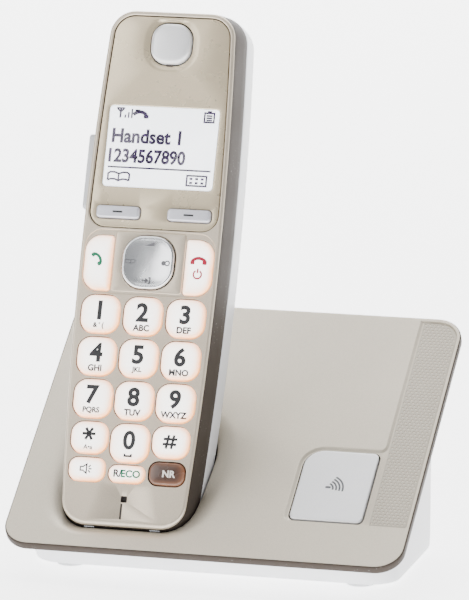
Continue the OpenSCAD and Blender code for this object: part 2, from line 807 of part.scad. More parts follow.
module handsfree_speaker() {
    color(DARK) in_handset() {
        slab(hand_t - 7.4, hand_t - hand_wall - 0.2) translate([0, speaker_z]) circle(9);
        slab(hand_t - 10, hand_t - 7.4) translate([0, speaker_z]) circle(5);
    }
}

module handset_screws() {
    color(STEEL) in_handset() for (s = HAND_SCREWS) {
        slab(boss_end + 1.65, boss_end + 3) translate(s) circle(head_r);
        slab(face_floor + 1.8, boss_end + 1.7) translate(s) circle(screw_r);
    }
}

module key_in_colour(k) {
    dark_key = k[0] == "noise_key";
    soft_key = k[7] == 0;
    color(dark_key ? [0.30, 0.20, 0.16] : soft_key ? SILVER : WHITE) push_key(k);
}

base_top_cover();
base_bottom_shell();
dimpled_strip();
locator_button();
button_bracket();
locator_switch();
charge_contact_left();
charge_contact_right();
contact_holder();
base_circuit_board();
line_jack();
power_jack();
rf_shield_can();
board_components();
base_antenna();
rubber_feet();
base_screws();
handset_front_shell();
handset_rear_shell();
display_panel();
display_lens();
lcd_module();
backlight_guide();
earpiece_cap();
receiver_capsule();
navigator_key();
navigator_pivot();
volume_rocker();
keypad_mat();
handset_circuit_board();
handset_components();
key_domes();
battery_cover();
batteries();
battery_contacts();
handset_charge_contacts();
microphone();
handsfree_speaker();
handset_screws();
for (k = KEYS) key_in_colour(k);
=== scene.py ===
# %% [markdown]
# # A cordless telephone that stands in its charging cradle
# The frame brings in the engineering model with its bodies, joints and sizes. This lesson puts
# a finished surface over it: painted covers, backlit keys, a lit display and the small marks
# that a maker prints on them. Everything is in metres, in the frame's own axes.

import json
import math

import bmesh
import bpy
from mathutils import Matrix, Vector
from mathutils.bvhtree import BVHTree
from mathutils.geometry import delaunay_2d_cdt, tessellate_polygon


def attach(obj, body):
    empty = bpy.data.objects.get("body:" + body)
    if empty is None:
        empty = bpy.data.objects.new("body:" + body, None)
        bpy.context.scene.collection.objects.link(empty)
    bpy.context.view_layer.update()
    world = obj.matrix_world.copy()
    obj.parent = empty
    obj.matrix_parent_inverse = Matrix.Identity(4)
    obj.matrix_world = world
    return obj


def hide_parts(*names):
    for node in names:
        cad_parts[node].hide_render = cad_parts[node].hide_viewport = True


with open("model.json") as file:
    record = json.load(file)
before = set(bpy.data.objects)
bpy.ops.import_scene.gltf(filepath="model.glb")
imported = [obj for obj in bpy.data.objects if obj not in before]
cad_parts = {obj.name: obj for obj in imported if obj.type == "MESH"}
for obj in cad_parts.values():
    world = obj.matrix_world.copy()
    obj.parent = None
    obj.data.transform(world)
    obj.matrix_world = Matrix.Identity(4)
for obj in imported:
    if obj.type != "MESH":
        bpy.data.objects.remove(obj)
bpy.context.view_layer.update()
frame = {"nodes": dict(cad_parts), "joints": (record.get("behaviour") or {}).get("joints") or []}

# %% [markdown]
# ## Drawing boards
# The handset leans and the cradle's face slopes, so nothing worth drawing is square to the
# table. Each gets a drawing board: u runs across, v runs up along it and h stands out of it,
# in millimetres. The directions come from the joints, and the corners from the parts.

# %% Drawing boards
MM = 0.001
JOINTS = {joint["name"]: joint for joint in frame["joints"]}


def drawing_board(part, up):
    """A matrix from (u, v, h) in millimetres to the frame: v = 0 at the part's foot, h = 0 on its face."""
    u, v = Vector((1, 0, 0)), Vector(up).normalized()
    h = u.cross(v)
    corners = [Vector((p.co.dot(u), p.co.dot(v), p.co.dot(h)))
               for p in frame["nodes"][part].data.vertices]
    middle = (min(c.x for c in corners) + max(c.x for c in corners)) / 2
    origin = u * middle + v * min(c.y for c in corners) + h * max(c.z for c in corners)
    turn = Matrix((u * MM, v * MM, h * MM)).transposed().to_4x4()
    return Matrix.Translation(origin) @ turn


hand_up = Vector(JOINTS["handset_lift"]["axis"])
plate_out = -Vector(JOINTS["locator_button_press"]["axis"])
HAND = drawing_board("handset_front_shell", hand_up)
PLATE = drawing_board("base_top_cover", plate_out.cross(Vector((1, 0, 0))))
TABLE = Matrix.Scale(MM, 4)


def reach(part, board):
    """Lowest and highest corner of a part on a drawing board, in millimetres."""
    to_board = board.inverted()
    points = [to_board @ p.co for p in frame["nodes"][part].data.vertices]
    return [tuple(pick(p[k] for p in points) for k in range(3)) for pick in (min, max)]


for part, board in (("handset_front_shell", HAND), ("base_top_cover", PLATE), ("lcd_module", HAND)):
    print(part, [[round(c, 2) for c in corner] for corner in reach(part, board)])

# %% [markdown]
# ## Outlines
# Most parts are pressed or moulded to a rounded outline. An outline here is a loop of (u, v)
# points with a fixed count, so the same outline set in a little has the same points and the
# two can be joined by a band of faces. That is how every rounded edge below is made.

# %% Outlines
def arc(cu, cv, r, start, turn, steps):
    """Points on an arc, angles in degrees, anticlockwise for a positive turn."""
    angles = [math.radians(start + turn * k / steps) for k in range(steps + 1)]
    return [(cu + r * math.cos(a), cv + r * math.sin(a)) for a in angles]


def between(a, b, count):
    """Points strictly between two points, evenly spaced."""
    return [tuple(p + (q - p) * k / (count + 1) for p, q in zip(a, b)) for k in range(1, count + 1)]


def joined(parts, side):
    """One loop of several arcs, with the same number of points along each straight side."""
    loop = []
    for part, following in zip(parts, parts[1:] + parts[:1]):
        loop += part + between(part[-1], following[0], side)
    return loop


def round_box(w, v_size, r, grow=0.0, at=(0, 0), steps=6, side=0, bulge=0.0):
    """A rounded rectangle. r is one radius, or four from the lower right corner anticlockwise."""
    radii = [max(q + grow, 0.03) for q in (r if isinstance(r, (tuple, list)) else [r] * 4)]
    a, b = w / 2 + grow, v_size / 2 + grow
    signs = [(1, -1), (1, 1), (-1, 1), (-1, -1)]
    parts = [arc(s * (a - q), t * (b - q), q, -90 + 90 * k, 90, steps)
             for k, ((s, t), q) in enumerate(zip(signs, radii))]
    loop = joined(parts, side)
    return [(at[0] + u * (1 + bulge / a * (1 - (v / b) ** 2)),
             at[1] + v * (1 + bulge / b * (1 - (u / a) ** 2)))
            for u, v in loop]


def circle(r, at=(0, 0), count=24):
    return [(at[0] + r * math.cos(2 * math.pi * k / count), at[1] + r * math.sin(2 * math.pi * k / count))
            for k in range(count)]


# Sizes of the handset's outline, in millimetres
HAND_LEN = round(reach("handset_front_shell", HAND)[1][1], 2)
HAND_W, BELLY, BELLY_R, CORNER = 50.0, 90.0, 1250.0, 10.0
DRAFT, PART_D, HAND_T, BACK_R = 1.6, 11.0, 27.0, 8.0


def half_width(v):
    """Half the handset's width at height v: a long barrel curve."""
    return HAND_W / 2 - (v - BELLY) ** 2 / (2 * BELLY_R)


def hand_loop(inset, low=None, r_low=None, steps=9, side=14):
    """The handset's outline set in; it may start at a height 'low' with corners of radius r_low."""
    r = CORNER - inset
    foot = inset if low is None else low
    q = r if r_low is None else r_low
    v_low, v_high = foot + q, HAND_LEN - CORNER
    in_low = half_width(v_low) - inset - q
    in_high = half_width(v_high) - CORNER
    flank = [(half_width(v) - inset, v)
             for v in [v_low + (v_high - v_low) * k / (side + 1) for k in range(1, side + 1)]]
    right = arc(in_low, v_low, q, -90, 90, steps) + flank + arc(in_high, v_high, r, 0, 90, steps)
    return right + [(-u, v) for u, v in reversed(right)]


print("handset", HAND_LEN, "mm long; outline of", len(hand_loop(0)), "points")

# %% [markdown]
# ## Shapes from rings, bands and sheets
# A Shape collects points and faces. A ring is a loop at one height, a band joins two rings,
# and a sheet fills the flat ground between rings, leaving the holes open. Delaunay
# triangulation does that filling, because it never folds a triangle over a hole's edge.

# %% Shapes
def inside(point, loop):
    hit = False
    for (u0, v0), (u1, v1) in zip(loop, loop[1:] + loop[:1]):
        if (v0 > point[1]) != (v1 > point[1]) and point[0] < (u1 - u0) * (point[1] - v0) / (v1 - v0) + u0:
            hit = not hit
    return hit


class Shape:
    def __init__(self):
        self.points, self.faces, self.paint, self.tint = [], [], [], {}

    def ring(self, loop, h, tint=0.0):
        """Adds a loop of points; h is a height or a function of (u, v). Returns their numbers."""
        first = len(self.points)
        for u, v in loop:
            self.tint[len(self.points)] = tint
            self.points.append((u, v, h(u, v) if callable(h) else h))
        return list(range(first, len(self.points)))

    def ring3(self, loop):
        """Adds a loop of (u, v, h) points."""
        first = len(self.points)
        self.points += [tuple(p) for p in loop]
        return list(range(first, len(self.points)))

    def face(self, corners, paint=0):
        self.faces.append(list(corners))
        self.paint.append(paint)

    def band(self, a, b, paint=0):
        for k in range(len(a)):
            n = (k + 1) % len(a)
            self.face((a[k], a[n], b[n], b[k]), paint)

    def bands(self, rows, paint=0):
        """Rings from (loop, h) rows, joined one to the next. Returns the first and last ring."""
        rings = [self.ring(*row) for row in rows]
        for a, b in zip(rings, rings[1:]):
            self.band(a, b, paint)
        return rings[0], rings[-1]

    def fan(self, ring, centre, paint=0):
        self.points.append(tuple(centre))
        for k in range(len(ring)):
            self.face((ring[k], ring[(k + 1) % len(ring)], len(self.points) - 1), paint)

    def sheet(self, outer, holes=(), paint=0, spacing=None, h=0.0):
        """Fills the ground between an outer ring and hole rings, with a grid of points if asked."""
        rings = [list(outer)] + [list(r) for r in holes]
        loops = [[self.points[k][:2] for k in ring] for ring in rings]
        numbers = [k for ring in rings for k in ring]
        owner = [n for n, ring in enumerate(rings) for _ in ring]
        spots, edges, first = [Vector(p) for loop in loops for p in loop], [], 0
        for ring in rings:
            edges += [(first + k, first + (k + 1) % len(ring)) for k in range(len(ring))]
            first += len(ring)
        if spacing:
            for spot in grid_inside(loops, spacing):
                numbers.append(len(self.points))
                self.points.append((*spot, h(*spot) if callable(h) else h))
                owner.append(-1)
                spots.append(Vector(spot))
        _, _, faces, sources, _, _ = delaunay_2d_cdt(spots, edges, [], 0, 1e-5)
        for face in faces:
            corner = [sources[k][0] for k in face]
            owners = {owner[k] for k in corner}
            middle = [sum(spots[k][n] for k in corner) / 3 for n in range(2)]
            if len(owners) == 1 and -1 not in owners:
                which = owners.pop()
                if inside(middle, loops[which]) != (which == 0):
                    continue
            self.face([numbers[k] for k in corner], paint)


def grid_inside(loops, spacing):
    """Points of a square grid inside the first loop, outside the others and clear of every edge."""
    us, vs = [p[0] for p in loops[0]], [p[1] for p in loops[0]]
    boxes = [(min(p[0] for p in l), max(p[0] for p in l), min(p[1] for p in l), max(p[1] for p in l))
             for l in loops]
    clear, found = 0.45 * spacing, []
    near = {}
    for loop in loops:
        for u, v in loop:
            near.setdefault((int(u // spacing), int(v // spacing)), []).append((u, v))
    for i in range(int((max(us) - min(us)) / spacing) + 1):
        for j in range(int((max(vs) - min(vs)) / spacing) + 1):
            p = (min(us) + (i + 0.5) * spacing, min(vs) + (j + 0.5) * spacing)
            if not inside(p, loops[0]):
                continue
            if any(b[0] <= p[0] <= b[1] and b[2] <= p[1] <= b[3] and inside(p, l) for b,
                   l in zip(boxes[1:], loops[1:])):
                continue
            cell = (int(p[0] // spacing), int(p[1] // spacing))
            close = [q for di in (-1, 0, 1) for dj in (-1, 0, 1)
                     for q in near.get((cell[0] + di, cell[1] + dj), [])]
            if all(math.hypot(p[0] - q[0], p[1] - q[1]) > clear for q in close):
                found.append(p)
    return found


def finish(name, shape, board, materials, body, parts=(), angle=40, weld=True):
    """Turns a Shape into a piece of the model that rides on a body and stands for CAD parts."""
    mesh = bpy.data.meshes.new(name)
    mesh.from_pydata([board @ Vector(p) for p in shape.points], [], shape.faces)
    mesh.polygons.foreach_set("material_index", shape.paint)
    tint = mesh.attributes.new("edge_tint", "FLOAT", "POINT")
    tint.data.foreach_set("value", [shape.tint.get(k, 0.0) for k in range(len(shape.points))])
    bm = bmesh.new()
    bm.from_mesh(mesh)
    if weld:
        bmesh.ops.remove_doubles(bm, verts=bm.verts, dist=2e-6)
    bmesh.ops.recalc_face_normals(bm, faces=bm.faces)
    bm.to_mesh(mesh)
    bm.free()
    mesh.shade_smooth()
    mesh.set_sharp_from_angle(angle=math.radians(angle))
    obj = bpy.data.objects.new(name, mesh)
    bpy.context.scene.collection.objects.link(obj)
    for material in materials:
        mesh.materials.append(material)
    if parts:
        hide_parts(*parts)
    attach(obj, body)
    return obj


print("shape tools ready")

# %% [markdown]
# ## Printed marks
# Figures and signs are printed in ink about as thick as a hair. Each mark is a thin closed
# slab whose top and bottom follow the surface under it, found by dropping a ray on that
# surface. Text is turned into a mesh first and placed afterwards.

# %% Marks
def flat_text(body, height, at=(0, 0), width=None, weight=0.0):
    """Text as flat (points, faces), scaled to a real height and centred on a point."""
    curve = bpy.data.curves.new("lettering", "FONT")
    curve.body, curve.offset, curve.resolution_u = body, weight, 4
    obj = bpy.data.objects.new("lettering", curve)
    bpy.context.scene.collection.objects.link(obj)
    mesh = bpy.data.meshes.new_from_object(obj.evaluated_get(bpy.context.evaluated_depsgraph_get()))
    points = [(p.co.x, p.co.y) for p in mesh.vertices]
    faces = [list(f.vertices) for f in mesh.polygons]
    bpy.data.objects.remove(obj)
    bpy.data.curves.remove(curve)
    us, vs = [p[0] for p in points], [p[1] for p in points]
    scale_v = height / (max(vs) - min(vs))
    scale_u = width / (max(us) - min(us)) if width else scale_v
    mid_u, mid_v = (max(us) + min(us)) / 2, (max(vs) + min(vs)) / 2
    return [(at[0] + (u - mid_u) * scale_u, at[1] + (v - mid_v) * scale_v) for u, v in points], faces


def flat_area(*loops):
    """A filled outline, with any further loops as holes, as flat (points, faces)."""
    points = [p for loop in loops for p in loop]
    faces = tessellate_polygon([[Vector((u, v, 0)) for u, v in loop] for loop in loops])
    return points, [list(f) for f in faces]


# Printed lines spread a little, so each is this much wider than drawn
STROKE_WEIGHT = 1.45


def stroke(path, width, closed=False):
    """A line of even width along a path, as flat (points, faces)."""
    width = width * STROKE_WEIGHT
    count = len(path)
    left, right = [], []
    for k, (u, v) in enumerate(path):
        before = path[k - 1] if closed or k else None
        after = path[(k + 1) % count] if closed or k < count - 1 else None
        d0 = Vector((u - before[0], v - before[1])).normalized() if before else None
        d1 = Vector((after[0] - u, after[1] - v)).normalized() if after else None
        d0, d1 = d0 or d1, d1 or d0
        middle = (d0 + d1).normalized()
        reach_out = width / 2 / max(middle.dot(d0), 0.35)
        left.append((u - middle.y * reach_out, v + middle.x * reach_out))
        right.append((u + middle.y * reach_out, v - middle.x * reach_out))
    turns = range(count if closed else count - 1)
    return left + right, [[k, (k + 1) % count, count + (k + 1) % count, count + k] for k in turns]


def moved(flat, at=(0, 0), turn=0.0, scale=1.0):
    c, s = math.cos(math.radians(turn)) * scale, math.sin(math.radians(turn)) * scale
    return [(at[0] + c * u - s * v, at[1] + s * u + c * v) for u, v in flat[0]], flat[1]


def refined(flat, longest=0.8):
    """The same flat mark cut into small triangles, so that it can follow a curved surface."""
    bm = bmesh.new()
    corners = [bm.verts.new((u, v, 0)) for u, v in flat[0]]
    for face in flat[1]:
        bm.faces.new([corners[k] for k in face])
    bmesh.ops.triangulate(bm, faces=bm.faces)
    for _ in range(4):
        long_edges = [edge for edge in bm.edges if edge.calc_length() > longest]
        bmesh.ops.subdivide_edges(bm, edges=long_edges, cuts=1)
        bmesh.ops.triangulate(bm, faces=bm.faces)
    bm.verts.index_update()
    result = [(p.co.x, p.co.y) for p in bm.verts], [[p.index for p in face.verts] for face in bm.faces]
    bm.free()
    return result


def print_on(shape, flats, surface, paint, rise=0.03, sink=0.12):
    """Adds flat marks to a shape as thin slabs that follow a surface. surface is a height or a BVH tree."""
    for points, faces in [refined(flat) if isinstance(surface, BVHTree) else flat for flat in flats]:
        first, count = len(shape.points), len(points)
        heights = []
        for u, v in points:
            hit = surface.ray_cast(Vector((u, v, 40)), Vector((0, 0, -1)))[0] if isinstance(surface,
                    BVHTree) else None
            heights.append(hit.z if hit else (0.0 if isinstance(surface, BVHTree) else surface))
        shape.points += [(u, v, h + rise) for (u, v), h in zip(points, heights)]
        shape.points += [(u, v, h - sink) for (u, v), h in zip(points, heights)]
        uses = {}
        for face in faces:
            shape.face([first + k for k in face], paint)
            shape.face([first + count + k for k in reversed(face)], paint)
            for a, b in zip(face, face[1:] + face[:1]):
                uses[frozenset((a, b))] = (a, b) if frozenset((a, b)) not in uses else None
        for edge in filter(None, uses.values()):
            a, b = edge
            shape.face((first + b, first + a, first + count + a, first + count + b), paint)


def surface_of(shape):
    return BVHTree.FromPolygons([Vector(p) for p in shape.points], shape.faces)


print("lettering ready")

# %% [markdown]
# ## Camera
# A product photographer stands back and uses a long lens, which keeps the sides of the phone
# nearly parallel. The camera is aimed from the cradle's front edge, a little to the right and
# a little above the table.

# %% Camera
FRONT_EDGE = Vector((0, -0.00762, 0.02878))
TURN, RISE, DISTANCE = math.radians(15.45), math.radians(13.98), 1.7929
back = Vector((math.sin(TURN) * math.cos(RISE), -math.cos(TURN) * math.cos(RISE), math.sin(RISE)))
right = Vector((0, 0, 1)).cross(back).normalized()
above = back.cross(right)
# The aim leaves the front edge low in the picture, so the whole handset is in view
aim = (-back + above * math.tan(math.radians(1.808)) + right * math.tan(math.radians(0.046))).normalized()

camera = bpy.data.objects.new("camera", bpy.data.cameras.new("camera"))
camera.data.lens, camera.data.sensor_width = 330.06, 36
camera.data.clip_start, camera.data.clip_end = 0.1, 20
camera.location = FRONT_EDGE + back * DISTANCE
camera.rotation_mode = "QUATERNION"
camera.rotation_quaternion = aim.to_track_quat("-Z", "Y")
bpy.context.scene.collection.objects.link(camera)
bpy.context.scene.camera = camera
print("camera at", [round(c, 3) for c in camera.location])

# %% [markdown]
# ## Studio
# A pale floor that sweeps up behind the phone, a large soft light overhead for the sloping
# face, one at the front left for the handset, and a weak one at the right. Painted metal
# shows what it reflects, so the size of each light matters more than its strength.

# %% Studio
def studio_sweep():
    """A floor that curves up into a wall, in one smooth sheet."""
    profile = [(-4.0, 0), (2.4, 0)] + [(2.4 + 0.6 * math.sin(a), 0.6 - 0.6 * math.cos(a))
                                      for a in [math.pi / 2 * k / 12 for k in range(1, 13)]] + [(3.0,
                                              3.0)]
    mesh = bpy.data.meshes.new("studio_floor")
    points = [(x, y, z) for y, z in profile for x in (-4, 4)]
    mesh.from_pydata(points, [], [(2 * k, 2 * k + 1, 2 * k + 3, 2 * k + 2)
                                  for k in range(len(profile) - 1)])
    mesh.shade_smooth()
    obj = bpy.data.objects.new("studio_floor", mesh)
    bpy.context.scene.collection.objects.link(obj)
    return obj


def soft_light(name, place, size, power, aim_at=(0, 0, 0.08), colour=(1, 1, 1)):
    light = bpy.data.lights.new(name, "AREA")
    light.shape, light.energy, light.color = "RECTANGLE", power, colour
    light.size, light.size_y = size
    obj = bpy.data.objects.new(name, light)
    obj.location = place
    obj.rotation_mode = "QUATERNION"
    obj.rotation_quaternion = (Vector(aim_at) - Vector(place)).to_track_quat("-Z", "Y")
    bpy.context.scene.collection.objects.link(obj)
    return obj


floor = studio_sweep()
paper = bpy.data.materials.new("studio_paper")
paper.use_nodes = True
paper_shader = paper.node_tree.nodes["Principled BSDF"]
paper_shader.inputs["Base Color"].default_value = (0.94, 0.94, 0.94, 1)
paper_shader.inputs["Roughness"].default_value = 0.75
paper_shader.inputs["Emission Color"].default_value = (1, 1, 1, 1)
paper_shader.inputs["Emission Strength"].default_value = 3.2
floor.data.materials.append(paper)

soft_light("light_overhead", (-0.25, 0.0, 1.5), (1.6, 1.4), 14)
soft_light("light_front_left", (-1.1, -1.3, 0.95), (1.0, 1.2), 14)
soft_light("light_right", (1.6, -0.9, 0.5), (0.5, 1.0), 2)
soft_light("light_backdrop", (0, 1.3, 2.6), (3.0, 0.8), 120, aim_at=(0, 3.0, 0.5))
world = bpy.data.worlds.new("studio_air")
world.use_nodes = True
world.node_tree.nodes["Background"].inputs["Color"].default_value = (0.90, 0.92, 0.95, 1)
world.node_tree.nodes["Background"].inputs["Strength"].default_value = 0.3
bpy.context.scene.world = world

# %% [markdown]
# ## Shader groups
# Several finishes share an effect: paint with metal flakes in it, the faint grain of a
# moulding, and the dust and rubbing of use. Each is one node group with named inputs, built
# once. A group gives only a colour, a mask or a height; the shader stays in the material.

# %% Shader groups
def group(name, inputs, outputs):
    """An empty shader group with its sockets. inputs are (name, kind, value)."""
    tree = bpy.data.node_groups.new(name, "ShaderNodeTree")
    for label, kind, value in inputs:
        socket = tree.interface.new_socket(name=label, in_out="INPUT", socket_type=kind)
        socket.default_value = value
    for label, kind in outputs:
        tree.interface.new_socket(name=label, in_out="OUTPUT", socket_type=kind)
    return tree, tree.nodes.new("NodeGroupInput"), tree.nodes.new("NodeGroupOutput")


def node(tree, kind, links=(), **settings):
    """A node with settings; links are (input name or number, source socket or value)."""
    made = tree.nodes.new(kind)
    for key, value in settings.items():
        setattr(made, key, value)
    for key, source in links:
        if isinstance(source, bpy.types.NodeSocket):
            tree.links.new(source, made.inputs[key])
        else:
            made.inputs[key].default_value = source
    return made


def noise(tree, vector, scale, detail=2.0, rough=0.5):
    return node(tree, "ShaderNodeTexNoise",
                [("Vector", vector), ("Scale", scale), ("Detail", detail), ("Roughness", rough)])


def ramp(tree, value, low, high, to_low=0.0, to_high=1.0):
    return node(tree, "ShaderNodeMapRange", [("Value", value), ("From Min", low), ("From Max", high),
                                            ("To Min", to_low), ("To Max", to_high)]).outputs["Result"]


FLOAT, COLOUR = "NodeSocketFloat", "NodeSocketColor"

# Metal flakes in paint: cells a few hundredths of a millimetre across, each a little lighter or darker
flake, flake_in, flake_out = group("metal_flake_paint",
                                   [("Colour", COLOUR, (0.8, 0.77, 0.7, 1)),
                                    ("Flakes per Metre", FLOAT, 9000.0),
    ("Sparkle", FLOAT, 0.12)], [("Colour", COLOUR), ("Flake", FLOAT)])
place = node(flake, "ShaderNodeTexCoord").outputs["Object"]
cells = node(flake, "ShaderNodeTexVoronoi",
             [("Vector", place), ("Scale", flake_in.outputs["Flakes per Metre"])])
grey = node(flake, "ShaderNodeSeparateColor", [(0, cells.outputs["Color"])]).outputs[0]
drift = noise(flake, place, 38.0, 3.0).outputs["Fac"]
swing = node(flake, "ShaderNodeMath",
             [(0, ramp(flake, grey, 0, 1, -1, 1)), (1, flake_in.outputs["Sparkle"])],
             operation="MULTIPLY").outputs[0]
gain = node(flake, "ShaderNodeMath", [(0, swing), (1, ramp(flake, drift, 0.3, 0.7, 0.97, 1.03))],
            operation="ADD").outputs[0]
tinted = node(flake, "ShaderNodeVectorMath", [(0, flake_in.outputs["Colour"]), ("Scale", gain)],
              operation="SCALE").outputs[0]
flake.links.new(tinted, flake_out.inputs["Colour"])
flake.links.new(grey, flake_out.inputs["Flake"])

# Moulded grain: the fine spark-eroded surface of a mould, as a height
grain, grain_in, grain_out = group("moulded_grain",
                                   [("Grains per Metre", FLOAT, 2600.0), ("Waviness", FLOAT, 0.25)],
                                   [("Height", FLOAT)])
place = node(grain, "ShaderNodeTexCoord").outputs["Object"]
fine = noise(grain, place, grain_in.outputs["Grains per Metre"], 3.0).outputs["Fac"]
wave = noise(grain, place, 90.0, 1.0).outputs["Fac"]
mixed = node(grain, "ShaderNodeMix",
             [("Factor", grain_in.outputs["Waviness"]), ("A", fine), ("B", wave)]).outputs["Result"]
grain.links.new(mixed, grain_out.inputs["Height"])

# Handling: faint smears that change the gloss, and specks of dust
use, use_in, use_out = group("handling_marks",
                             [("Gloss", FLOAT, 0.35), ("Smear", FLOAT, 0.06), ("Dust", FLOAT, 0.2)],
    [("Roughness", FLOAT), ("Dust", FLOAT)])
place = node(use, "ShaderNodeTexCoord").outputs["Object"]
smear = ramp(use, noise(use, place, 55.0, 4.0, 0.6).outputs["Fac"], 0.35, 0.7, -1, 1)
shift = node(use, "ShaderNodeMath", [(0, smear), (1, use_in.outputs["Smear"])],
             operation="MULTIPLY").outputs[0]
rough = node(use, "ShaderNodeMath", [(0, shift), (1, use_in.outputs["Gloss"])],
             operation="ADD").outputs[0]
specks = ramp(use, noise(use, place, 1400.0, 1.0).outputs["Fac"], 0.70, 0.76)
patches = ramp(use, noise(use, place, 45.0, 2.0).outputs["Fac"], 0.45, 0.65)
dust = node(use, "ShaderNodeMath", [(0, specks), (1, patches)], operation="MULTIPLY").outputs[0]
dusty = node(use, "ShaderNodeMath", [(0, dust), (1, use_in.outputs["Dust"])],
             operation="MULTIPLY").outputs[0]
use.links.new(rough, use_out.inputs["Roughness"])
use.links.new(dusty, use_out.inputs["Dust"])
print("shader groups:", [tree.name for tree in bpy.data.node_groups])

# %% [markdown]
# ## Finishes
# Champagne paint with fine flakes covers the faces. The edges, the sides and the pocket carry a
# very dark copy of the same paint: painted shade for surfaces that face away from the lights.
# The shells below are white mouldings with a half gloss. Keys are milky mouldings lit
# from behind, so their rims glow warm; the glow uses a value stored on each key's points.

# %% Finishes
def use_group(tree, source, **values):
    made = node(tree, "ShaderNodeGroup", node_tree=source)
    for key, value in values.items():
        made.inputs[key.replace("_", " ")].default_value = value
    return made


def new_material(name, **shader_values):
    """A material with its Principled shader's plain values set; returns (material, tree, shader)."""
    material = bpy.data.materials.new(name)
    material.use_nodes = True
    tree = material.node_tree
    shader = tree.nodes["Principled BSDF"]
    for key, value in shader_values.items():
        shader.inputs[key.replace("_", " ")].default_value = value
    return material, tree, shader


def bump(tree, shader, height, strength, distance):
    made = node(tree, "ShaderNodeBump",
                [("Strength", strength), ("Distance", distance), ("Height", height)])
    tree.links.new(made.outputs["Normal"], shader.inputs["Normal"])


def mix_colour(tree, factor, a, b):
    made = node(tree, "ShaderNodeMix", data_type="RGBA")
    for socket, source in zip([s for s in made.inputs if s.name == "Factor"][:1] + [s
            for s in made.inputs if s.type == "RGBA"],
                              (factor, a, b)):
        if isinstance(source, bpy.types.NodeSocket):
            tree.links.new(source, socket)
        else:
            socket.default_value = source
    return [s for s in made.outputs if s.type == "RGBA"][0]


def painted(name, colour, metal, gloss, sparkle=0.1, flakes=9000.0, coat=0.0, smear=0.04,
            grain_size=2600.0, depth=0.00001, **extra):
    """Metallic paint on a moulding."""
    material, tree, shader = new_material(name, Metallic=metal, Coat_Weight=coat, Coat_Roughness=0.08,
                                          **extra)
    paint = use_group(tree, flake, Colour=(*colour, 1), Flakes_per_Metre=flakes, Sparkle=sparkle)
    marks = use_group(tree, use, Gloss=gloss, Smear=smear, Dust=0.15)
    tree.links.new(mix_colour(tree, marks.outputs["Dust"], paint.outputs["Colour"], (0.8, 0.78, 0.75, 1)),
                   shader.inputs["Base Color"])
    tree.links.new(marks.outputs["Roughness"], shader.inputs["Roughness"])
    texture = use_group(tree, grain, Grains_per_Metre=grain_size, Waviness=0.2)
    bump(tree, shader, texture.outputs["Height"], 0.35, depth)
    return material


def moulded(name, colour, gloss, smear=0.04, grain_size=2600.0, depth=0.00001, dust=0.2, metal=0.0,
            mottle=0.04, **extra):
    """Plain coloured moulding, rubber or sheet metal, with its grain and a faint change of shade."""
    material, tree, shader = new_material(name, Metallic=metal, **extra)
    drift = noise(tree, node(tree, "ShaderNodeTexCoord").outputs["Object"], 60.0, 3.0).outputs["Fac"]
    darker = tuple(c * (1 - mottle) for c in colour)
    lighter = tuple(min(1.0, c * (1 + mottle)) for c in colour)
    shade = mix_colour(tree, ramp(tree, drift, 0.3, 0.7), (*darker, 1), (*lighter, 1))
    marks = use_group(tree, use, Gloss=gloss, Smear=smear, Dust=dust)
    tree.links.new(mix_colour(tree, marks.outputs["Dust"], shade, (0.72, 0.70, 0.68, 1)),
                   shader.inputs["Base Color"])
    tree.links.new(marks.outputs["Roughness"], shader.inputs["Roughness"])
    texture = use_group(tree, grain, Grains_per_Metre=grain_size, Waviness=0.15)
    bump(tree, shader, texture.outputs["Height"], 0.4, depth)
    return material


def backlit(name, face, rim, glow, strength, gloss=0.3):
    """A milky key lit from behind: the face colour turns to the rim colour where edge_tint is high."""
    material, tree, shader = new_material(name, Subsurface_Weight=0.12, Coat_Weight=0.25,
                                          Coat_Roughness=0.12)
    shader.inputs["Subsurface Radius"].default_value = (0.0012, 0.0008, 0.0006)
    shader.inputs["Emission Strength"].default_value = strength
    edge = node(tree, "ShaderNodeAttribute", attribute_name="edge_tint").outputs["Fac"]
    cloud = noise(tree, node(tree, "ShaderNodeTexCoord").outputs["Object"], 700.0, 2.0).outputs["Fac"]
    wavering = node(tree, "ShaderNodeMath", [(0, edge), (1, ramp(tree, cloud, 0.3, 0.7, 0.9, 1.1))],
                    operation="MULTIPLY").outputs[0]
    tree.links.new(mix_colour(tree, wavering, (*face, 1), (*rim, 1)), shader.inputs["Base Color"])
    tree.links.new(mix_colour(tree, wavering, (*face, 1), (*glow, 1)), shader.inputs["Emission Color"])
    marks = use_group(tree, use, Gloss=gloss, Smear=0.05, Dust=0.0)
    tree.links.new(marks.outputs["Roughness"], shader.inputs["Roughness"])
    texture = use_group(tree, grain, Grains_per_Metre=1800.0, Waviness=0.3)
    bump(tree, shader, texture.outputs["Height"], 0.3, 0.00001)
    return material


CHAMPAGNE = painted("champagne_paint", (0.60, 0.52, 0.41), 0.60, 0.34)
# Edge paint: the champagne made very dark, as painted shade on edges, sides and the pocket that face away
# from the light
SHADED_EDGE_PAINT = painted("edge_paint_painted_shade", (0.05, 0.04, 0.033), 0.08, 0.5, Specular_IOR_Level=0.08)
PLATE_PAINT = painted("cradle_champagne_paint", (0.56, 0.505, 0.41), 0.50, 0.38)
PANEL_PAINT = painted("panel_champagne_paint", (0.63, 0.53, 0.37), 0.55, 0.28, sparkle=0.07, coat=0.35)
STRIP_PAINT = painted("strip_paint", (0.44, 0.40, 0.33), 0.35, 0.45, Specular_IOR_Level=0.3)
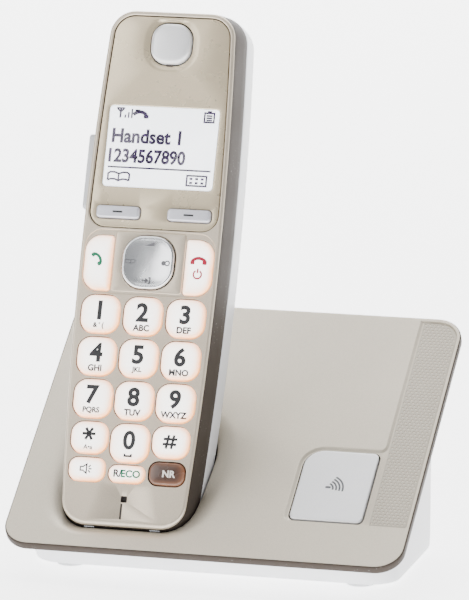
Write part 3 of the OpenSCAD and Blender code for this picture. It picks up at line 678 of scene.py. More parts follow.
# Near black for the pits' walls and floors: painted shade in the hollows
PIT_PAINTED_SHADE = painted("strip_pit_painted_shade", (0.03, 0.026, 0.022), 0.05, 0.7, Specular_IOR_Level=0.05)
SATIN_SILVER = painted("satin_silver_paint", (0.80, 0.80, 0.81), 0.40, 0.38, sparkle=0.06)
BRIGHT_SILVER = painted("bright_plating", (0.86, 0.87, 0.89), 0.92, 0.22, sparkle=0.02, flakes=14000.0,
                        smear=0.03)
KEY_SILVER = painted("soft_key_paint", (0.62, 0.62, 0.68), 0.45, 0.34, sparkle=0.06)
WHITE_SHELL = moulded("white_moulding", (0.60, 0.605, 0.62), 0.32)
DARK_PLASTIC = moulded("dark_moulding", (0.035, 0.035, 0.038), 0.45, dust=0.35)
# Near black for the walls of holes, slots and recesses and the insides of the covers: painted shade where
# light does not reach
RECESS_PAINTED_SHADE = moulded("recess_wall_painted_shade", (0.05, 0.04, 0.035), 0.6, dust=0.0)
MAT_RUBBER = moulded("mat_silicone", (0.72, 0.71, 0.67), 0.55, Subsurface_Weight=0.1)
INK_BLACK = moulded("key_ink", (0.015, 0.015, 0.017), 0.5, dust=0.0)
INK_GREEN = moulded("green_ink", (0.0, 0.16, 0.07), 0.5, dust=0.0)
INK_RED = moulded("red_ink", (0.36, 0.005, 0.03), 0.5, dust=0.0)
INK_GREY = moulded("grey_ink", (0.10, 0.10, 0.11), 0.5, dust=0.0)
INK_PALE = moulded("pale_ink", (0.75, 0.70, 0.64), 0.5, dust=0.0)
STEEL = moulded("steel_sheet", (0.60, 0.61, 0.63), 0.30, metal=1.0, smear=0.1)
GOLD = moulded("gold_plating", (0.83, 0.62, 0.25), 0.25, metal=1.0)
BOARD_GREEN = moulded("board_lacquer", (0.02, 0.16, 0.07), 0.35, mottle=0.2)
CELL_WRAP = moulded("cell_sleeve", (0.03, 0.20, 0.14), 0.3)
KEY_WHITE = backlit("key_milk_white", (0.93, 0.90, 0.86), (0.93, 0.58, 0.34), (1.0, 0.36, 0.10), 3.0)
KEY_BROWN = backlit("key_smoke_brown", (0.055, 0.03, 0.022), (0.22, 0.10, 0.055), (0.5, 0.16, 0.05), 0.10)
print(len(bpy.data.materials), "finishes so far")

# %% [markdown]
# ## Cradle: outlines that follow the handset
# The pocket is the handset's own shape with half a millimetre of room. Where the sloping
# plate cuts that shape, it leaves a long opening with a square front edge and round corners
# at the back. The same rule, cut by lower planes, gives the inside of the pocket.

# %% Pocket outlines
ON_PLATE = PLATE.inverted() @ HAND


def section_half(v, d, grow):
    """Half the width of the grown handset at height v and depth d; None outside it."""
    if not -grow <= d <= HAND_T + grow:
        return None
    if d <= HAND_T - BACK_R:
        inset = DRAFT * (1 - min(max(d, 0), PART_D) / PART_D) - grow
    else:
        inset = BACK_R - (BACK_R + grow) * math.sqrt(max(0.0,
                1 - ((d - HAND_T + BACK_R) / (BACK_R + grow)) ** 2))
    if v >= CORNER:
        return half_width(v) - inset
    r = CORNER - inset
    return None if CORNER - v > r else half_width(CORNER) - CORNER + math.sqrt(r * r - (CORNER - v) ** 2)


def pocket_loop(h, grow, count=18):
    """The grown handset cut by the plane at height h on the plate's board."""
    def half(v):
        return section_half(v, (ON_PLATE[2][1] * v + ON_PLATE[2][3] - h) / ON_PLATE[2][2], grow)

    heights = [k * 0.05 for k in range(-60, 1400)]
    valid = [v for v in heights if half(v) is not None]
    low, high = min(valid), max(valid)
    side = []
    for k in range(count):
        v = low + (high - low) * (1 - math.cos(math.pi * k / (count - 1))) / 2
        d = (ON_PLATE[2][1] * v + ON_PLATE[2][3] - h) / ON_PLATE[2][2]
        u = half(v) or 0.0
        point = ON_PLATE @ Vector((0, v, -d))
        side.append((u, point.y))
    return [(ON_PLATE[0][3] + u, v) for u, v in side] + [(ON_PLATE[0][3] - u, v) for u,
            v in reversed(side)]


def offset(loop, distance, mitre=True):
    """The loop moved outwards; without the mitre its sharp corners soften."""
    moved_loop = []
    for k, p in enumerate(loop):
        a = Vector((p[0] - loop[k - 1][0], p[1] - loop[k - 1][1])).normalized()
        b = Vector((loop[(k + 1) % len(loop)][0] - p[0],
                    loop[(k + 1) % len(loop)][1] - p[1])).normalized()
        n = Vector((a.y + b.y, -a.x - b.x))
        n = n / max(1 + a.dot(b), 0.4) if mitre else n.normalized()
        moved_loop.append((p[0] + n.x * distance, p[1] + n.y * distance))
    return moved_loop


def fillet_loop(corners, steps=6, side=2):
    """A polygon of (u, v, radius) corners with every corner rounded, hollow corners too."""
    parts = []
    for k, (u, v, r) in enumerate(corners):
        p = Vector((u, v))
        a = (Vector(corners[k - 1][:2]) - p).normalized()
        b = (Vector(corners[(k + 1) % len(corners)][:2]) - p).normalized()
        half_angle = math.acos(max(-1, min(1, a.dot(b)))) / 2
        centre = p + (a + b).normalized() * r / math.sin(half_angle)
        start, end = p + a * r / math.tan(half_angle), p + b * r / math.tan(half_angle)
        a0, a1 = math.atan2(*(start - centre).yx), math.atan2(*(end - centre).yx)
        turn = (a1 - a0 + math.pi) % (2 * math.pi) - math.pi
        parts.append(arc(centre.x, centre.y, r, math.degrees(a0), math.degrees(turn), steps))
    return joined(parts, side)


def mixed_loop(a, b, share):
    return [tuple(p + (q - p) * share for p, q in zip(m, n)) for m, n in zip(a, b)]


opening = pocket_loop(0, 0.5)
print("pocket opening, mm:", round(max(p[0] for p in opening) - min(p[0] for p in opening), 1),
      "by", round(max(p[1] for p in opening) - min(p[1] for p in opening), 1))

# %% [markdown]
# ## Cradle: the face plate
# One moulding makes the plate, its rim and the pocket. The surface rolls down softly round
# the handset's foot, and a shallow terrace holds the locator button and the dimpled strip.
# Each of these is a stack of rings, and one flat sheet joins them all.

# %% Face plate
PLATE_W, PLATE_L, PLATE_R, RIM_T = 133.0, 110.0, 9.0, 3.0
DISH, DISH_W = 1.7, 6.6
BUTTON_AT, BUTTON_SIZE, BUTTON_RADII, BUTTON_GAP = (38.2, 33.4), (24.0, 30.0), (2.0, 2.0, 6.5, 2.0), 0.35
TERRACE = [(24.25, 17.55, 2.4), (65.2, 17.55, 0.5), (65.2, 108.6, 7.6), (51.3, 108.6, 0.5),
           (51.3, 50.4, 1.6), (24.25, 50.4, 8.2)]
TERRACE_FLOOR = [(25.55, 17.7, 1.4), (65.05, 17.7, 0.4), (65.05, 108.45, 7.45), (52.6, 108.45, 0.4),
                 (52.6, 49.1, 2.9), (25.55, 49.1, 6.9)]
TERRACE_H = -0.53


def plate_loop(inset):
    return round_box(PLATE_W, PLATE_L, PLATE_R, -inset, (0, PLATE_L / 2), steps=9, side=8)


cover = Shape()
rim_top, _ = cover.bands([(plate_loop(0.9), 0), (plate_loop(0.6), 0), (plate_loop(0.42), -0.03)])
_, rim_low = cover.bands([(plate_loop(0.42), -0.03), (plate_loop(0.22), -0.14), (plate_loop(0.08), -0.34),
                          (plate_loop(0), -0.75),
                          (plate_loop(0), -2.5), (plate_loop(0.12), -2.86), (plate_loop(0.45), -RIM_T)],
                          paint=1)
edge = pocket_loop(-DISH, 0.5)


def dish_loop(width):
    """The opening widened; it widens less towards the front edge, where there is less room."""
    return [(u, v if v > v0 else v0 + 0.75 * (v - v0)) for (u, v),
            (_, v0) in zip(offset(edge, width, mitre=False), edge)]


dish_rows = [(dish_loop(DISH_W * t), -DISH * (1 - t) ** 2)
             for t in (1.0, 0.8, 0.62, 0.46, 0.32, 0.2, 0.1, 0.04)]
dish_top, _ = cover.bands([(dish_loop(DISH_W + 0.4), 0)] + dish_rows + [(edge, -DISH - 0.12),
        (offset(edge, -0.12), -DISH - 0.4)])
cover.bands([(offset(edge, -0.12), -DISH - 0.4)] + [(pocket_loop(-h, 0.5), -h)
                                                    for h in (3.2, 5, 8, 11, 14, 16.5, 18.5, 19.8, 20.6)],
                                                    paint=2)
pocket_end = cover.ring(pocket_loop(-20.6, 0.5), -20.6)
cover.face(pocket_end, 2)
top, floor_loop = fillet_loop(TERRACE), fillet_loop(TERRACE_FLOOR)
terrace_top, _ = cover.bands([(offset(top, 0.3), 0)] + [(mixed_loop(top, floor_loop, s), h) for s, h in
                             ((0, 0), (0.14, -0.02), (0.3, -0.1))])
_, terrace_low = cover.bands([(mixed_loop(top, floor_loop, s), h) for s,
                              h in ((0.3, -0.1), (0.72, -0.42), (0.88, -0.5), (1, TERRACE_H))], paint=3)
button_rows = [(round_box(*BUTTON_SIZE, BUTTON_RADII, BUTTON_GAP + g, BUTTON_AT), h)
               for g, h in ((0.15, TERRACE_H), (0.04, -0.58), (0, -0.75), (0, -RIM_T))]
button_top, button_low = cover.bands(button_rows, paint=2)
cover.sheet(terrace_low, [button_top], paint=3)
cover.sheet(rim_top, [dish_top, terrace_top])
cup_top, cup_low = cover.bands([(pocket_loop(-h, 2.5), -h)
                                for h in (RIM_T, 6, 10, 14, 17, 19.5, 21.3, 22.5)], paint=2)
cover.face(cup_low, 2)
cover.sheet(rim_low, [cup_top, button_low], paint=1)
# The rim, the pocket and the button's hole take the dark edge paint: painted shade
finish("cradle_face_plate", cover, PLATE, [PLATE_PAINT, SHADED_EDGE_PAINT, SHADED_EDGE_PAINT, PLATE_PAINT], "base",
       ["base_top_cover"])
print("face plate:", len(cover.faces), "faces")

# %% [markdown]
# ## Cradle: the dimpled strip
# The strip down the right edge is pressed with small pits in staggered rows. The pits are
# Geometry Nodes instances on a lattice of points, and the sheet between them is filled in
# round their rims, so that every pit is a real hollow that catches the light. Their walls and
# floors are painted near black, as painted shade in the hollows.

# %% Geometry Nodes helpers
def geometry_tree(name, inputs):
    """An empty Geometry Nodes tree with named inputs; returns (tree, input node, output node)."""
    tree = bpy.data.node_groups.new(name, "GeometryNodeTree")
    tree.interface.new_socket(name="Geometry", in_out="INPUT", socket_type="NodeSocketGeometry")
    for label, kind, value in inputs:
        socket = tree.interface.new_socket(name=label, in_out="INPUT", socket_type=kind)
        if value is not None:
            socket.default_value = value
    tree.interface.new_socket(name="Geometry", in_out="OUTPUT", socket_type="NodeSocketGeometry")
    return tree, tree.nodes.new("NodeGroupInput"), tree.nodes.new("NodeGroupOutput")


def instances_at(tree, spots, values):
    """Runs a tree on loose points in a board's millimetres; returns (points, faces) as a plain mesh."""
    mesh = bpy.data.meshes.new("spots")
    mesh.from_pydata([tuple(s) for s in spots], [], [])
    obj = bpy.data.objects.new("spots", mesh)
    bpy.context.scene.collection.objects.link(obj)
    modifier = obj.modifiers.new("nodes", "NODES")
    modifier.node_group = tree
    for item in tree.interface.items_tree:
        if item.in_out == "INPUT" and item.name in values:
            modifier[item.identifier] = values[item.name]
    result = bpy.data.meshes.new_from_object(obj.evaluated_get(bpy.context.evaluated_depsgraph_get()))
    points, faces = [tuple(p.co) for p in result.vertices], [list(f.vertices) for f in result.polygons]
    bpy.data.objects.remove(obj)
    return points, faces


def add_mesh(shape, mesh, paint=0, tint=0.0):
    first = len(shape.points)
    shape.points += mesh[0]
    shape.tint.update({first + k: tint for k in range(len(mesh[0]))})
    for face in mesh[1]:
        shape.face([first + k for k in face], paint)


pit, pit_in, pit_out = geometry_tree("strip_pits",
                                     [("Pit Radius", FLOAT, 0.36), ("Floor Radius", FLOAT, 0.26),
                                      ("Depth", FLOAT, 0.3),
    ("Sides", "NodeSocketInt", 8), ("Finish", "NodeSocketMaterial", None)])
wall = node(pit, "GeometryNodeMeshCone",
            [("Vertices", pit_in.outputs["Sides"]), ("Radius Top", pit_in.outputs["Pit Radius"]),
    ("Radius Bottom", pit_in.outputs["Floor Radius"]), ("Depth", pit_in.outputs["Depth"])],
    fill_type="NONE")
bottom = node(pit, "GeometryNodeMeshCircle",
              [("Vertices", pit_in.outputs["Sides"]), ("Radius", pit_in.outputs["Floor Radius"])],
              fill_type="NGON")
hollow = node(pit, "GeometryNodeJoinGeometry")
pit.links.new(wall.outputs["Mesh"], hollow.inputs[0])
pit.links.new(bottom.outputs["Mesh"], hollow.inputs[0])
sunk = node(pit, "GeometryNodeTransform", [("Geometry", hollow.outputs[0])])
drop = node(pit, "ShaderNodeMath", [(0, pit_in.outputs["Depth"]), (1, -1.0)],
            operation="MULTIPLY").outputs[0]
pit.links.new(node(pit, "ShaderNodeCombineXYZ", [("Z", drop)]).outputs[0], sunk.inputs["Translation"])
placed = node(pit, "GeometryNodeInstanceOnPoints",
              [("Points", pit_in.outputs[0]), ("Instance", sunk.outputs[0])])
real = node(pit, "GeometryNodeRealizeInstances", [("Geometry", placed.outputs[0])])
dressed = node(pit, "GeometryNodeSetMaterial",
               [("Geometry", real.outputs[0]), ("Material", pit_in.outputs["Finish"])])
pit.links.new(dressed.outputs[0], pit_out.inputs[0])
print("tree:", pit.name, "with", [i.name for i in pit.interface.items_tree])

# %% Dimpled strip
STRIP = [(52.75, 17.85, 0.3), (65.0, 17.85, 0.3), (65.0, 108.35, 7.4), (52.75, 108.35, 0.3)]
STRIP_TOP, PIT_R, PIT_PITCH, ROW_PITCH, COLUMNS = -0.45, 0.45, 1.42, 1.26, 8


def lattice():
    """Staggered rows of pit centres that stay clear of the strip's round corner."""
    corner = Vector((65.0 - 7.4, 108.35 - 7.4))
    spots = []
    for row in range(71):
        for column in range(COLUMNS):
            p = Vector((53.5 + PIT_PITCH * (column + (0.5 if row % 2 else 0.0)), 18.9 + ROW_PITCH * row))
            if p.x > corner.x and p.y > corner.y and (p - corner).length > 6.7:
                continue
            spots.append(p)
    return spots


spots = lattice()
strip = Shape()
outline = fillet_loop(STRIP, side=12)
strip_edge, _ = strip.bands([(offset(outline, -0.12), STRIP_TOP),
                             (offset(outline, -0.03), STRIP_TOP - 0.04), (outline, STRIP_TOP - 0.15),
                             (outline, -1.9)])
bottom_ring = strip.ring(outline, -1.9)
strip.face(bottom_ring)
strip.sheet(strip_edge, [strip.ring(circle(PIT_R, p, 8), STRIP_TOP) for p in spots])
pits = instances_at(pit, [(p.x, p.y, STRIP_TOP) for p in spots],
                    {"Pit Radius": PIT_R, "Finish": PIT_PAINTED_SHADE})
add_mesh(strip, pits, 1)
finish("cradle_dimpled_strip", strip, PLATE, [STRIP_PAINT, PIT_PAINTED_SHADE], "base",
       ["dimpled_strip"], angle=50)
print("strip:", len(spots), "pits,", len(strip.faces), "faces")

# %% [markdown]
# ## Cradle: the locator button
# Pressing this button makes the handset ring. It is a flat silver plate with one large round
# corner that matches the terrace, and a printed mark of radio waves.

# %% Locator button
button = Shape()
button_bottom, button_face = button.bands([(round_box(*BUTTON_SIZE, BUTTON_RADII, g, BUTTON_AT), h) for g,
                                           h in
    ((0, -3.3), (0, -0.25), (-0.07, 0.0), (-0.22, 0.14), (-0.45, 0.2), (-0.9, 0.2))])
button.sheet(button_face)
button.sheet(button_bottom)
waves = [stroke(arc(-2.6, -1.5, r, -8, 72, 10), 0.42) for r in (2.4, 3.5, 4.6, 5.7)]
waves.append(flat_area(round_box(1.9, 0.9, 0.42, at=(-1.9, -0.9), steps=3)))
print_on(button, [moved(w, BUTTON_AT) for w in waves], 0.2, 1)
finish("locator_button_plate", button, PLATE, [SATIN_SILVER, INK_GREY], "locator_button",
       ["locator_button"])
print("locator button:", BUTTON_SIZE, "mm")

# %% [markdown]
# ## Cradle: the lower shell and feet
# The white shell under the plate is a wedge with a front that slants back. It is lofted
# between its outline on the table and the same outline pushed up to the plate's underside,
# hollowed by a second, smaller loft, and the two jack openings are cut with Booleans.

# %% Lower shell
SHELL_LOW, SHELL_HIGH = reach("base_bottom_shell", TABLE)
SHELL_X, FOOT_H, PLAN_R, WALL = 61.1, 1.2, 10.0, 2.2
# The front slants back by 11.8 mm from the plate to the table, the back by 1.3 mm
FRONT_TOP, FRONT_FOOT = SHELL_LOW[1], SHELL_LOW[1] + 11.8
BACK_TOP, BACK_FOOT = SHELL_HIGH[1], SHELL_HIGH[1] - 1.3
under = PLATE @ Vector((0, 0, -3.04))
under_slope = plate_out.y / plate_out.z


def plan(front, rear, inset):
    return round_box(2 * SHELL_X, rear - front, PLAN_R, -inset, (0, (front + rear) / 2), steps=8, side=4)


def shell_ring(share, inset, lift=0.0):
    """A ring of the wedge: share 0 on the table side, 1 under the plate."""
    low, high = plan(FRONT_FOOT, BACK_FOOT, inset), plan(FRONT_TOP, BACK_TOP, inset)
    ring = []
    for a, b in zip(low, high):
        z_top = under.z / MM - under_slope * (b[1] - under.y / MM)
        z = FOOT_H + lift + (z_top - FOOT_H - lift) * share
        ring.append((a[0] + (b[0] - a[0]) * share, a[1] + (b[1] - a[1]) * share, z))
    return ring


def wedge(rows):
    block = Shape()
    rings = [block.ring3(shell_ring(*row)) for row in rows]
    for a, b in zip(rings, rings[1:]):
        block.band(a, b)
    block.face(rings[0])
    block.face(rings[-1])
    return block


def cut(obj, *cutters):
    """Takes other closed pieces away from a piece and deletes them."""
    for cutter in cutters:
        modifier = obj.modifiers.new("cut", "BOOLEAN")
        modifier.operation, modifier.object, modifier.solver = "DIFFERENCE", cutter, "EXACT"
        result = bpy.data.meshes.new_from_object(obj.evaluated_get(bpy.context.evaluated_depsgraph_get()))
        obj.modifiers.clear()
        obj.data = result
        bpy.data.objects.remove(cutter)
    obj.data.shade_smooth()
    obj.data.set_sharp_from_angle(angle=math.radians(35))


def cutter_box(low, high):
    """A plain block to cut with, corners in the table's millimetres."""
    block = Shape()
    at, size = [(a + b) / 2 for a, b in zip(low, high)], [b - a for a, b in zip(low, high)]
    rings = [block.ring(round_box(size[0], size[1], 0.3, at=at[:2], steps=3), h)
             for h in (low[2], high[2])]
    block.band(*rings)
    block.face(rings[0])
    block.face(rings[1])
    return finish("cutter", block, TABLE, [], "base")


outer = wedge([(0, 2.4, 0), (0, 1.1, 0.0), (0.006, 0.45, 0.12), (0.02, 0.12, 0.4), (0.06, 0, 0.6),
               (0.3, 0, 0.6), (0.65, 0, 0.6), (0.97, 0, 0.6),
               (1.0, 0.25, 0.6)])
lower = finish("cradle_lower_shell", outer, TABLE, [WHITE_SHELL], "base",
               ["base_bottom_shell"], angle=35)
hollow_block = wedge([(0.0, WALL, WALL), (0.5, WALL, WALL), (1.02, WALL, WALL)])
cutters = [finish("cutter", hollow_block, TABLE, [], "base")]
for jack in ("line_jack", "power_jack"):
    low, high = reach(jack, TABLE)
    cutters.append(cutter_box([low[0] - 0.35, high[1] - 5, low[2] - 0.35],
                              [high[0] + 0.35, high[1] + 6, high[2] + 0.35]))
cut(lower, *cutters)
print("lower shell:", len(lower.data.polygons), "faces")

# %% Feet
feet = Shape()
foot_points = reach("rubber_feet", TABLE)
for x in (foot_points[0][0] + 5, foot_points[1][0] - 5):
    for y in (foot_points[0][1] + 5, foot_points[1][1] - 5):
        rings = [feet.ring(circle(r, (x, y), 32), h) for r,
                 h in ((3.2, 0.0), (4.3, 0.0), (4.75, 0.12), (4.95, 0.4), (5.0, 0.9), (5.0, 2.1))]
        for a, b in zip(rings, rings[1:]):
            feet.band(a, b)
        feet.face(rings[0])
        feet.face(rings[-1])
FOOT_GREY = moulded("pale_foot_rubber", (0.55, 0.56, 0.57), 0.6, grain_size=1500.0, depth=0.00003,
                    dust=0.5)
finish("cradle_feet", feet, TABLE, [FOOT_GREY], "base", ["rubber_feet"])
print("feet set at the four corners")

# %% [markdown]
# ## Handset: the front cover
# The front cover is one painted moulding. Its face has a softly rounded hole for every key,
# a sunk bed for the display panel, and a shallow recess for the three keys under it. The
# sides carry a very dark copy of the same paint as painted shade, the walls of the holes and the
# bed are painted near black as painted shade, and the foot ends in a broad soft bevel.

# %% Key places
FLANGE = {"soft_key_left": 0.0, "soft_key_right": 0.0, "talk_key": 0.35, "off_key": 0.35}
RADII = {"key_star": 3.6, "key_hash": 3.6, "speaker_key": 2.6, "recall_key": 2.2, "noise_key": 2.6,
         "soft_key_left": 1.2,
         "soft_key_right": 1.2, "talk_key": (0.9, 0.9, 5.2, 5.2), "off_key": (5.2, 5.2, 0.9, 0.9)}
DIGIT_KEYS = [f"key_{n}" for n in range(1, 10)] + ["key_star", "key_0", "key_hash", "speaker_key",
                                                   "recall_key", "noise_key"]
ALL_KEYS = DIGIT_KEYS + ["soft_key_left", "soft_key_right", "talk_key", "off_key"]


def key_place(name):
    """Centre and size of a key's cap, in the handset's millimetres, from its CAD part."""
    low, high = reach(name, HAND)
    flange = FLANGE.get(name, 0.45)
    return ((low[0] + high[0]) / 2, (low[1] + high[1]) / 2), (high[0] - low[0] - 2 * flange,
            high[1] - low[1] - 2 * flange)


KEY_AT = {name: key_place(name) for name in ALL_KEYS}


def key_loop(name, grow):
    at, size = KEY_AT[name]
    return round_box(*size, RADII.get(name, 4.0), grow, at, steps=6, side=2, bulge=0.12
                     if name in DIGIT_KEYS else 0.0)


print({name: [round(c, 1) for c in KEY_AT[name][0]] for name in ("key_1", "key_0", "talk_key")})

# %% Front cover
NAV_W, NAV_R = 17.0, 6.4
FACE_BACK, BED_H, CLUSTER_H, PAD_H = -1.9, -1.75, -0.35, -0.04
NAV_AT = (0.0, sum(c[1] for c in reach("navigator_key", HAND)) / 2)


def foot_bevel(loop, lift):
    """Lifts the points near the foot, to spread a bevel there."""
    return [(u, v + lift * max(0.0, 1 - v / 13) ** 1.5) for u, v in loop]


def bed_loop(inset):
    """The outline of the display panel's bed."""
    return hand_loop(inset, low=96.4 + inset, r_low=8.6 - inset)


front = Shape()
face_ring, _ = front.bands([(foot_bevel(hand_loop(2.53), 1.55), 0), (foot_bevel(hand_loop(2.49), 1.5), 0),
                            (foot_bevel(hand_loop(2.2), 1.4), -0.015),
                            (foot_bevel(hand_loop(1.95), 1.1), -0.11),
                            (foot_bevel(hand_loop(1.72), 0.6), -0.34),
                            (foot_bevel(hand_loop(1.56), 0.25), -0.75)])
_, back_ring = front.bands([(foot_bevel(hand_loop(1.56), 0.25), -0.75), (hand_loop(1.1), -3.4),
                            (hand_loop(0.5), -7.6), (hand_loop(0.1), -10.5),
                            (hand_loop(0.16), -10.85), (hand_loop(0.45), -10.97),
                            (hand_loop(2.0), -10.97), (hand_loop(2.4), -10.0),
                            (hand_loop(2.5), FACE_BACK)], paint=1)
holes, backs = [], [back_ring]
for name in DIGIT_KEYS:
    lip, bottom = front.bands([(key_loop(name, g), h) for g, h in
                               ((0.54, 0), (0.5, 0), (0.43, -0.04))])
    _, bottom = front.bands([(key_loop(name, 0.43), -0.04), (key_loop(name, 0.32), -0.2),
                             (key_loop(name, 0.3), FACE_BACK)], paint=2)
    holes.append(lip)
    backs.append(bottom)
for loop_at, depth in ((lambda g: round_box(1.9, 1.9, 0.25, g, (0, 10.7), steps=3), -1.4),
                       (lambda g: round_box(0.45, 5.0, 0.15, g, (-0.65, 6.7), steps=3), -0.25)):
    lip, bottom = front.bands([(loop_at(0.12), 0), (loop_at(0.0), -0.1), (loop_at(-0.05), depth)],
                              paint=2)
    front.face(bottom, 2)
    holes.append(lip)
bed_top, bed_low = front.bands([(bed_loop(2.6), 0), (bed_loop(2.64), 0), (bed_loop(2.78), -0.03),
                                (bed_loop(2.95), -0.17), (bed_loop(3.04), -0.42)])
_, bed_low = front.bands([(bed_loop(3.04), -0.42), (bed_loop(3.06), BED_H)], paint=2)
front.sheet(bed_low, paint=2)
holes.append(bed_top)


def cluster_loop(g):
    return round_box(43.7, 20.9, 5.6, g, (0, NAV_AT[1] - 0.2), steps=7, side=2)


def pad_loop(g):
    return round_box(23.6, 19.8, 0.9, g, (0, NAV_AT[1]), steps=4, side=2)


def nav_loop(g):
    return round_box(NAV_W, NAV_W, NAV_R, g, NAV_AT, steps=7, side=2, bulge=0.25)


cluster_top, cluster_low = front.bands([(cluster_loop(g), h) for g,
                                        h in ((0.28, 0), (0.25, 0), (0.2, -0.02), (0.1, -0.12),
                                              (0.03, -0.26), (0, CLUSTER_H))])
holes.append(cluster_top)
pad_low, pad_top = front.bands([(pad_loop(0.12), CLUSTER_H), (pad_loop(0), -0.18),
                                (pad_loop(-0.12), -0.07), (pad_loop(-0.3), PAD_H)])
nav_top, nav_low = front.bands([(nav_loop(g), h) for g,
                                h in ((0.62, PAD_H), (0.52, -0.06), (0.4, -0.16), (0.32, -0.35))])
_, nav_low = front.bands([(nav_loop(0.32), -0.35), (nav_loop(0.3), FACE_BACK)], paint=2)
front.sheet(pad_top, [nav_top])
backs.append(nav_low)
cluster_holes = [pad_low]
for name in ("talk_key", "off_key"):
    lip, bottom = front.bands([(key_loop(name, g), h) for g,
                               h in ((0.2, CLUSTER_H), (0.15, -0.4), (0.12, -0.55), (0.1, FACE_BACK))],
                               paint=2)
    cluster_holes.append(lip)
    backs.append(bottom)
front.sheet(cluster_low, cluster_holes)
front.sheet(face_ring, holes)
front.sheet(backs[0], backs[1:], paint=2)
finish("handset_front_cover", front, HAND, [CHAMPAGNE, SHADED_EDGE_PAINT, RECESS_PAINTED_SHADE], "handset",
       ["handset_front_shell"])
print("front cover:", len(front.faces), "faces,", len(holes), "openings in the face")

# %% [markdown]
# ## Handset: the display panel, lens and display
# A glossier panel fills the bed, with a dish round the earpiece and openings for the lens
# and the two soft keys. The lens is a clear sheet, and behind it the display glows white
# with dark figures. The name line shows a plain word for the handset.

# %% Display panel
WINDOW_AT = tuple((a + b) / 2 for a, b in zip(*reach("display_lens", HAND)))[:2]
EAR_AT = tuple((a + b) / 2 for a, b in zip(*reach("earpiece_cap", HAND)))[:2]
PANEL_H = -0.5


def window_loop(g):
    return round_box(37.2, 27.0, 1.3, g, WINDOW_AT, steps=5, side=2)


def ear_loop(g):
    return round_box(13.2, 13.2, 4.9, g, EAR_AT, steps=7, side=2, bulge=0.15)


def dish_round_ear(g):
    """The dish is cut short at the top, where the panel's edge is near."""
    return [(u, min(v, EAR_AT[1] + 7.5 + 0.25 * g)) for u, v in ear_loop(g)]


panel = Shape()
_, panel_edge = panel.bands([(bed_loop(3.28), -1.7), (bed_loop(3.28), -0.8), (bed_loop(3.34), -0.6),
                             (bed_loop(3.44), -0.53), (bed_loop(3.6), PANEL_H)])
panel_back = panel.ring(bed_loop(3.28), -1.7)
window_top, window_low = panel.bands([(window_loop(0.6), PANEL_H), (window_loop(0.4), -0.51),
                                      (window_loop(0.2), -0.58), (window_loop(0.05), -0.72)])
_, window_low = panel.bands([(window_loop(0.05), -0.72), (window_loop(0.0), -1.7)], paint=1)
panel_holes, panel_backs = [window_top], [window_low]
for name in ("soft_key_left", "soft_key_right"):
    lip, bottom = panel.bands([(key_loop(name, g), h) for g,
                               h in ((0.42, PANEL_H), (0.34, -0.52), (0.27, -0.6), (0.22, -0.8))])
    _, bottom = panel.bands([(key_loop(name, 0.22), -0.8), (key_loop(name, 0.2), -1.7)], paint=2)
    panel_holes.append(lip)
    panel_backs.append(bottom)
ear_top, ear_low = panel.bands([(dish_round_ear(g), h) for g,
                                h in ((2.9, PANEL_H), (2.5, -0.52), (2.0, -0.6), (1.5, -0.74),
                                      (1.0, -0.9), (0.7, -0.98), (0.5, -1.0))])
_, ear_low = panel.bands([(ear_loop(0.5), -1.0), (ear_loop(0.42), -1.15), (ear_loop(0.4), -1.7)], paint=2)
panel_holes.append(ear_top)
panel_backs.append(ear_low)
panel.sheet(panel_edge, panel_holes)
panel.sheet(panel_back, panel_backs, paint=2)
print_on(panel, [flat_area(round_box(2.4, 0.8, 0.35, at=(EAR_AT[0], EAR_AT[1] - 7.1), steps=3))], -0.95,
         2, rise=0.12)
# The window's wall is a dark olive grey, darker than the panel: painted shade on the recess wall
WINDOW_WALL_SHADE = moulded("window_wall_painted_shade", (0.33, 0.35, 0.28), 0.35)
finish("handset_display_panel", panel, HAND, [PANEL_PAINT, WINDOW_WALL_SHADE, RECESS_PAINTED_SHADE], "handset",
       ["display_panel"])
print("display panel:", len(panel.faces), "faces")

# %% Lens and display
def glass(name, tint, gloss):
    """Clear sheet: mostly see-through, with a faint print of handling in its gloss."""
    material, tree, shader = new_material(name, Transmission_Weight=1.0, IOR=1.45)
    shader.inputs["Base Color"].default_value = (*tint, 1)
    marks = use_group(tree, use, Gloss=gloss, Smear=0.02, Dust=0.0)
    tree.links.new(marks.outputs["Roughness"], shader.inputs["Roughness"])
    return material


def display_glow(name, colour, strength):
    """The lit face of the display: an even white with a faint grid of cells, each a little cooler towards
    its edge.
    """
    material, tree, shader = new_material(name, Roughness=0.5)
    place = node(tree, "ShaderNodeTexCoord").outputs["Object"]
    cells = node(tree, "ShaderNodeTexVoronoi", [("Vector", place), ("Scale", 2600.0)])
    tint = mix_colour(tree, ramp(tree, cells.outputs["Distance"], 0.0, 0.8, 0.0, 0.25), (*colour, 1),
                      (0.80, 0.87, 0.95, 1))
    tree.links.new(tint, shader.inputs["Base Color"])
    tree.links.new(tint, shader.inputs["Emission Color"])
    shader.inputs["Emission Strength"].default_value = strength
    return material


lens = Shape()
lens_low, lens_top = lens.bands([(window_loop(g), h) for g,
                                 h in ((-0.1, -0.98), (-0.1, -0.72), (-0.16, -0.64), (-0.3, -0.6))])
lens.face(lens_low)
lens.face(lens_top)
finish("display_clear_lens", lens, HAND, [glass("clear_lens", (1, 1, 1), 0.03)], "handset",
       ["display_lens"])

SCREEN_H = -1.05
screen = Shape()
screen_low, screen_top = screen.bands([(window_loop(-0.02), -1.68), (window_loop(-0.02), SCREEN_H - 0.02),
                                       (window_loop(-0.06), SCREEN_H)])
screen.face(screen_low)
screen.face(screen_top)
SU, SV = WINDOW_AT


def on_screen(flats, u, v):
    return [moved(flat, (SU + u, SV + v)) for flat in flats]


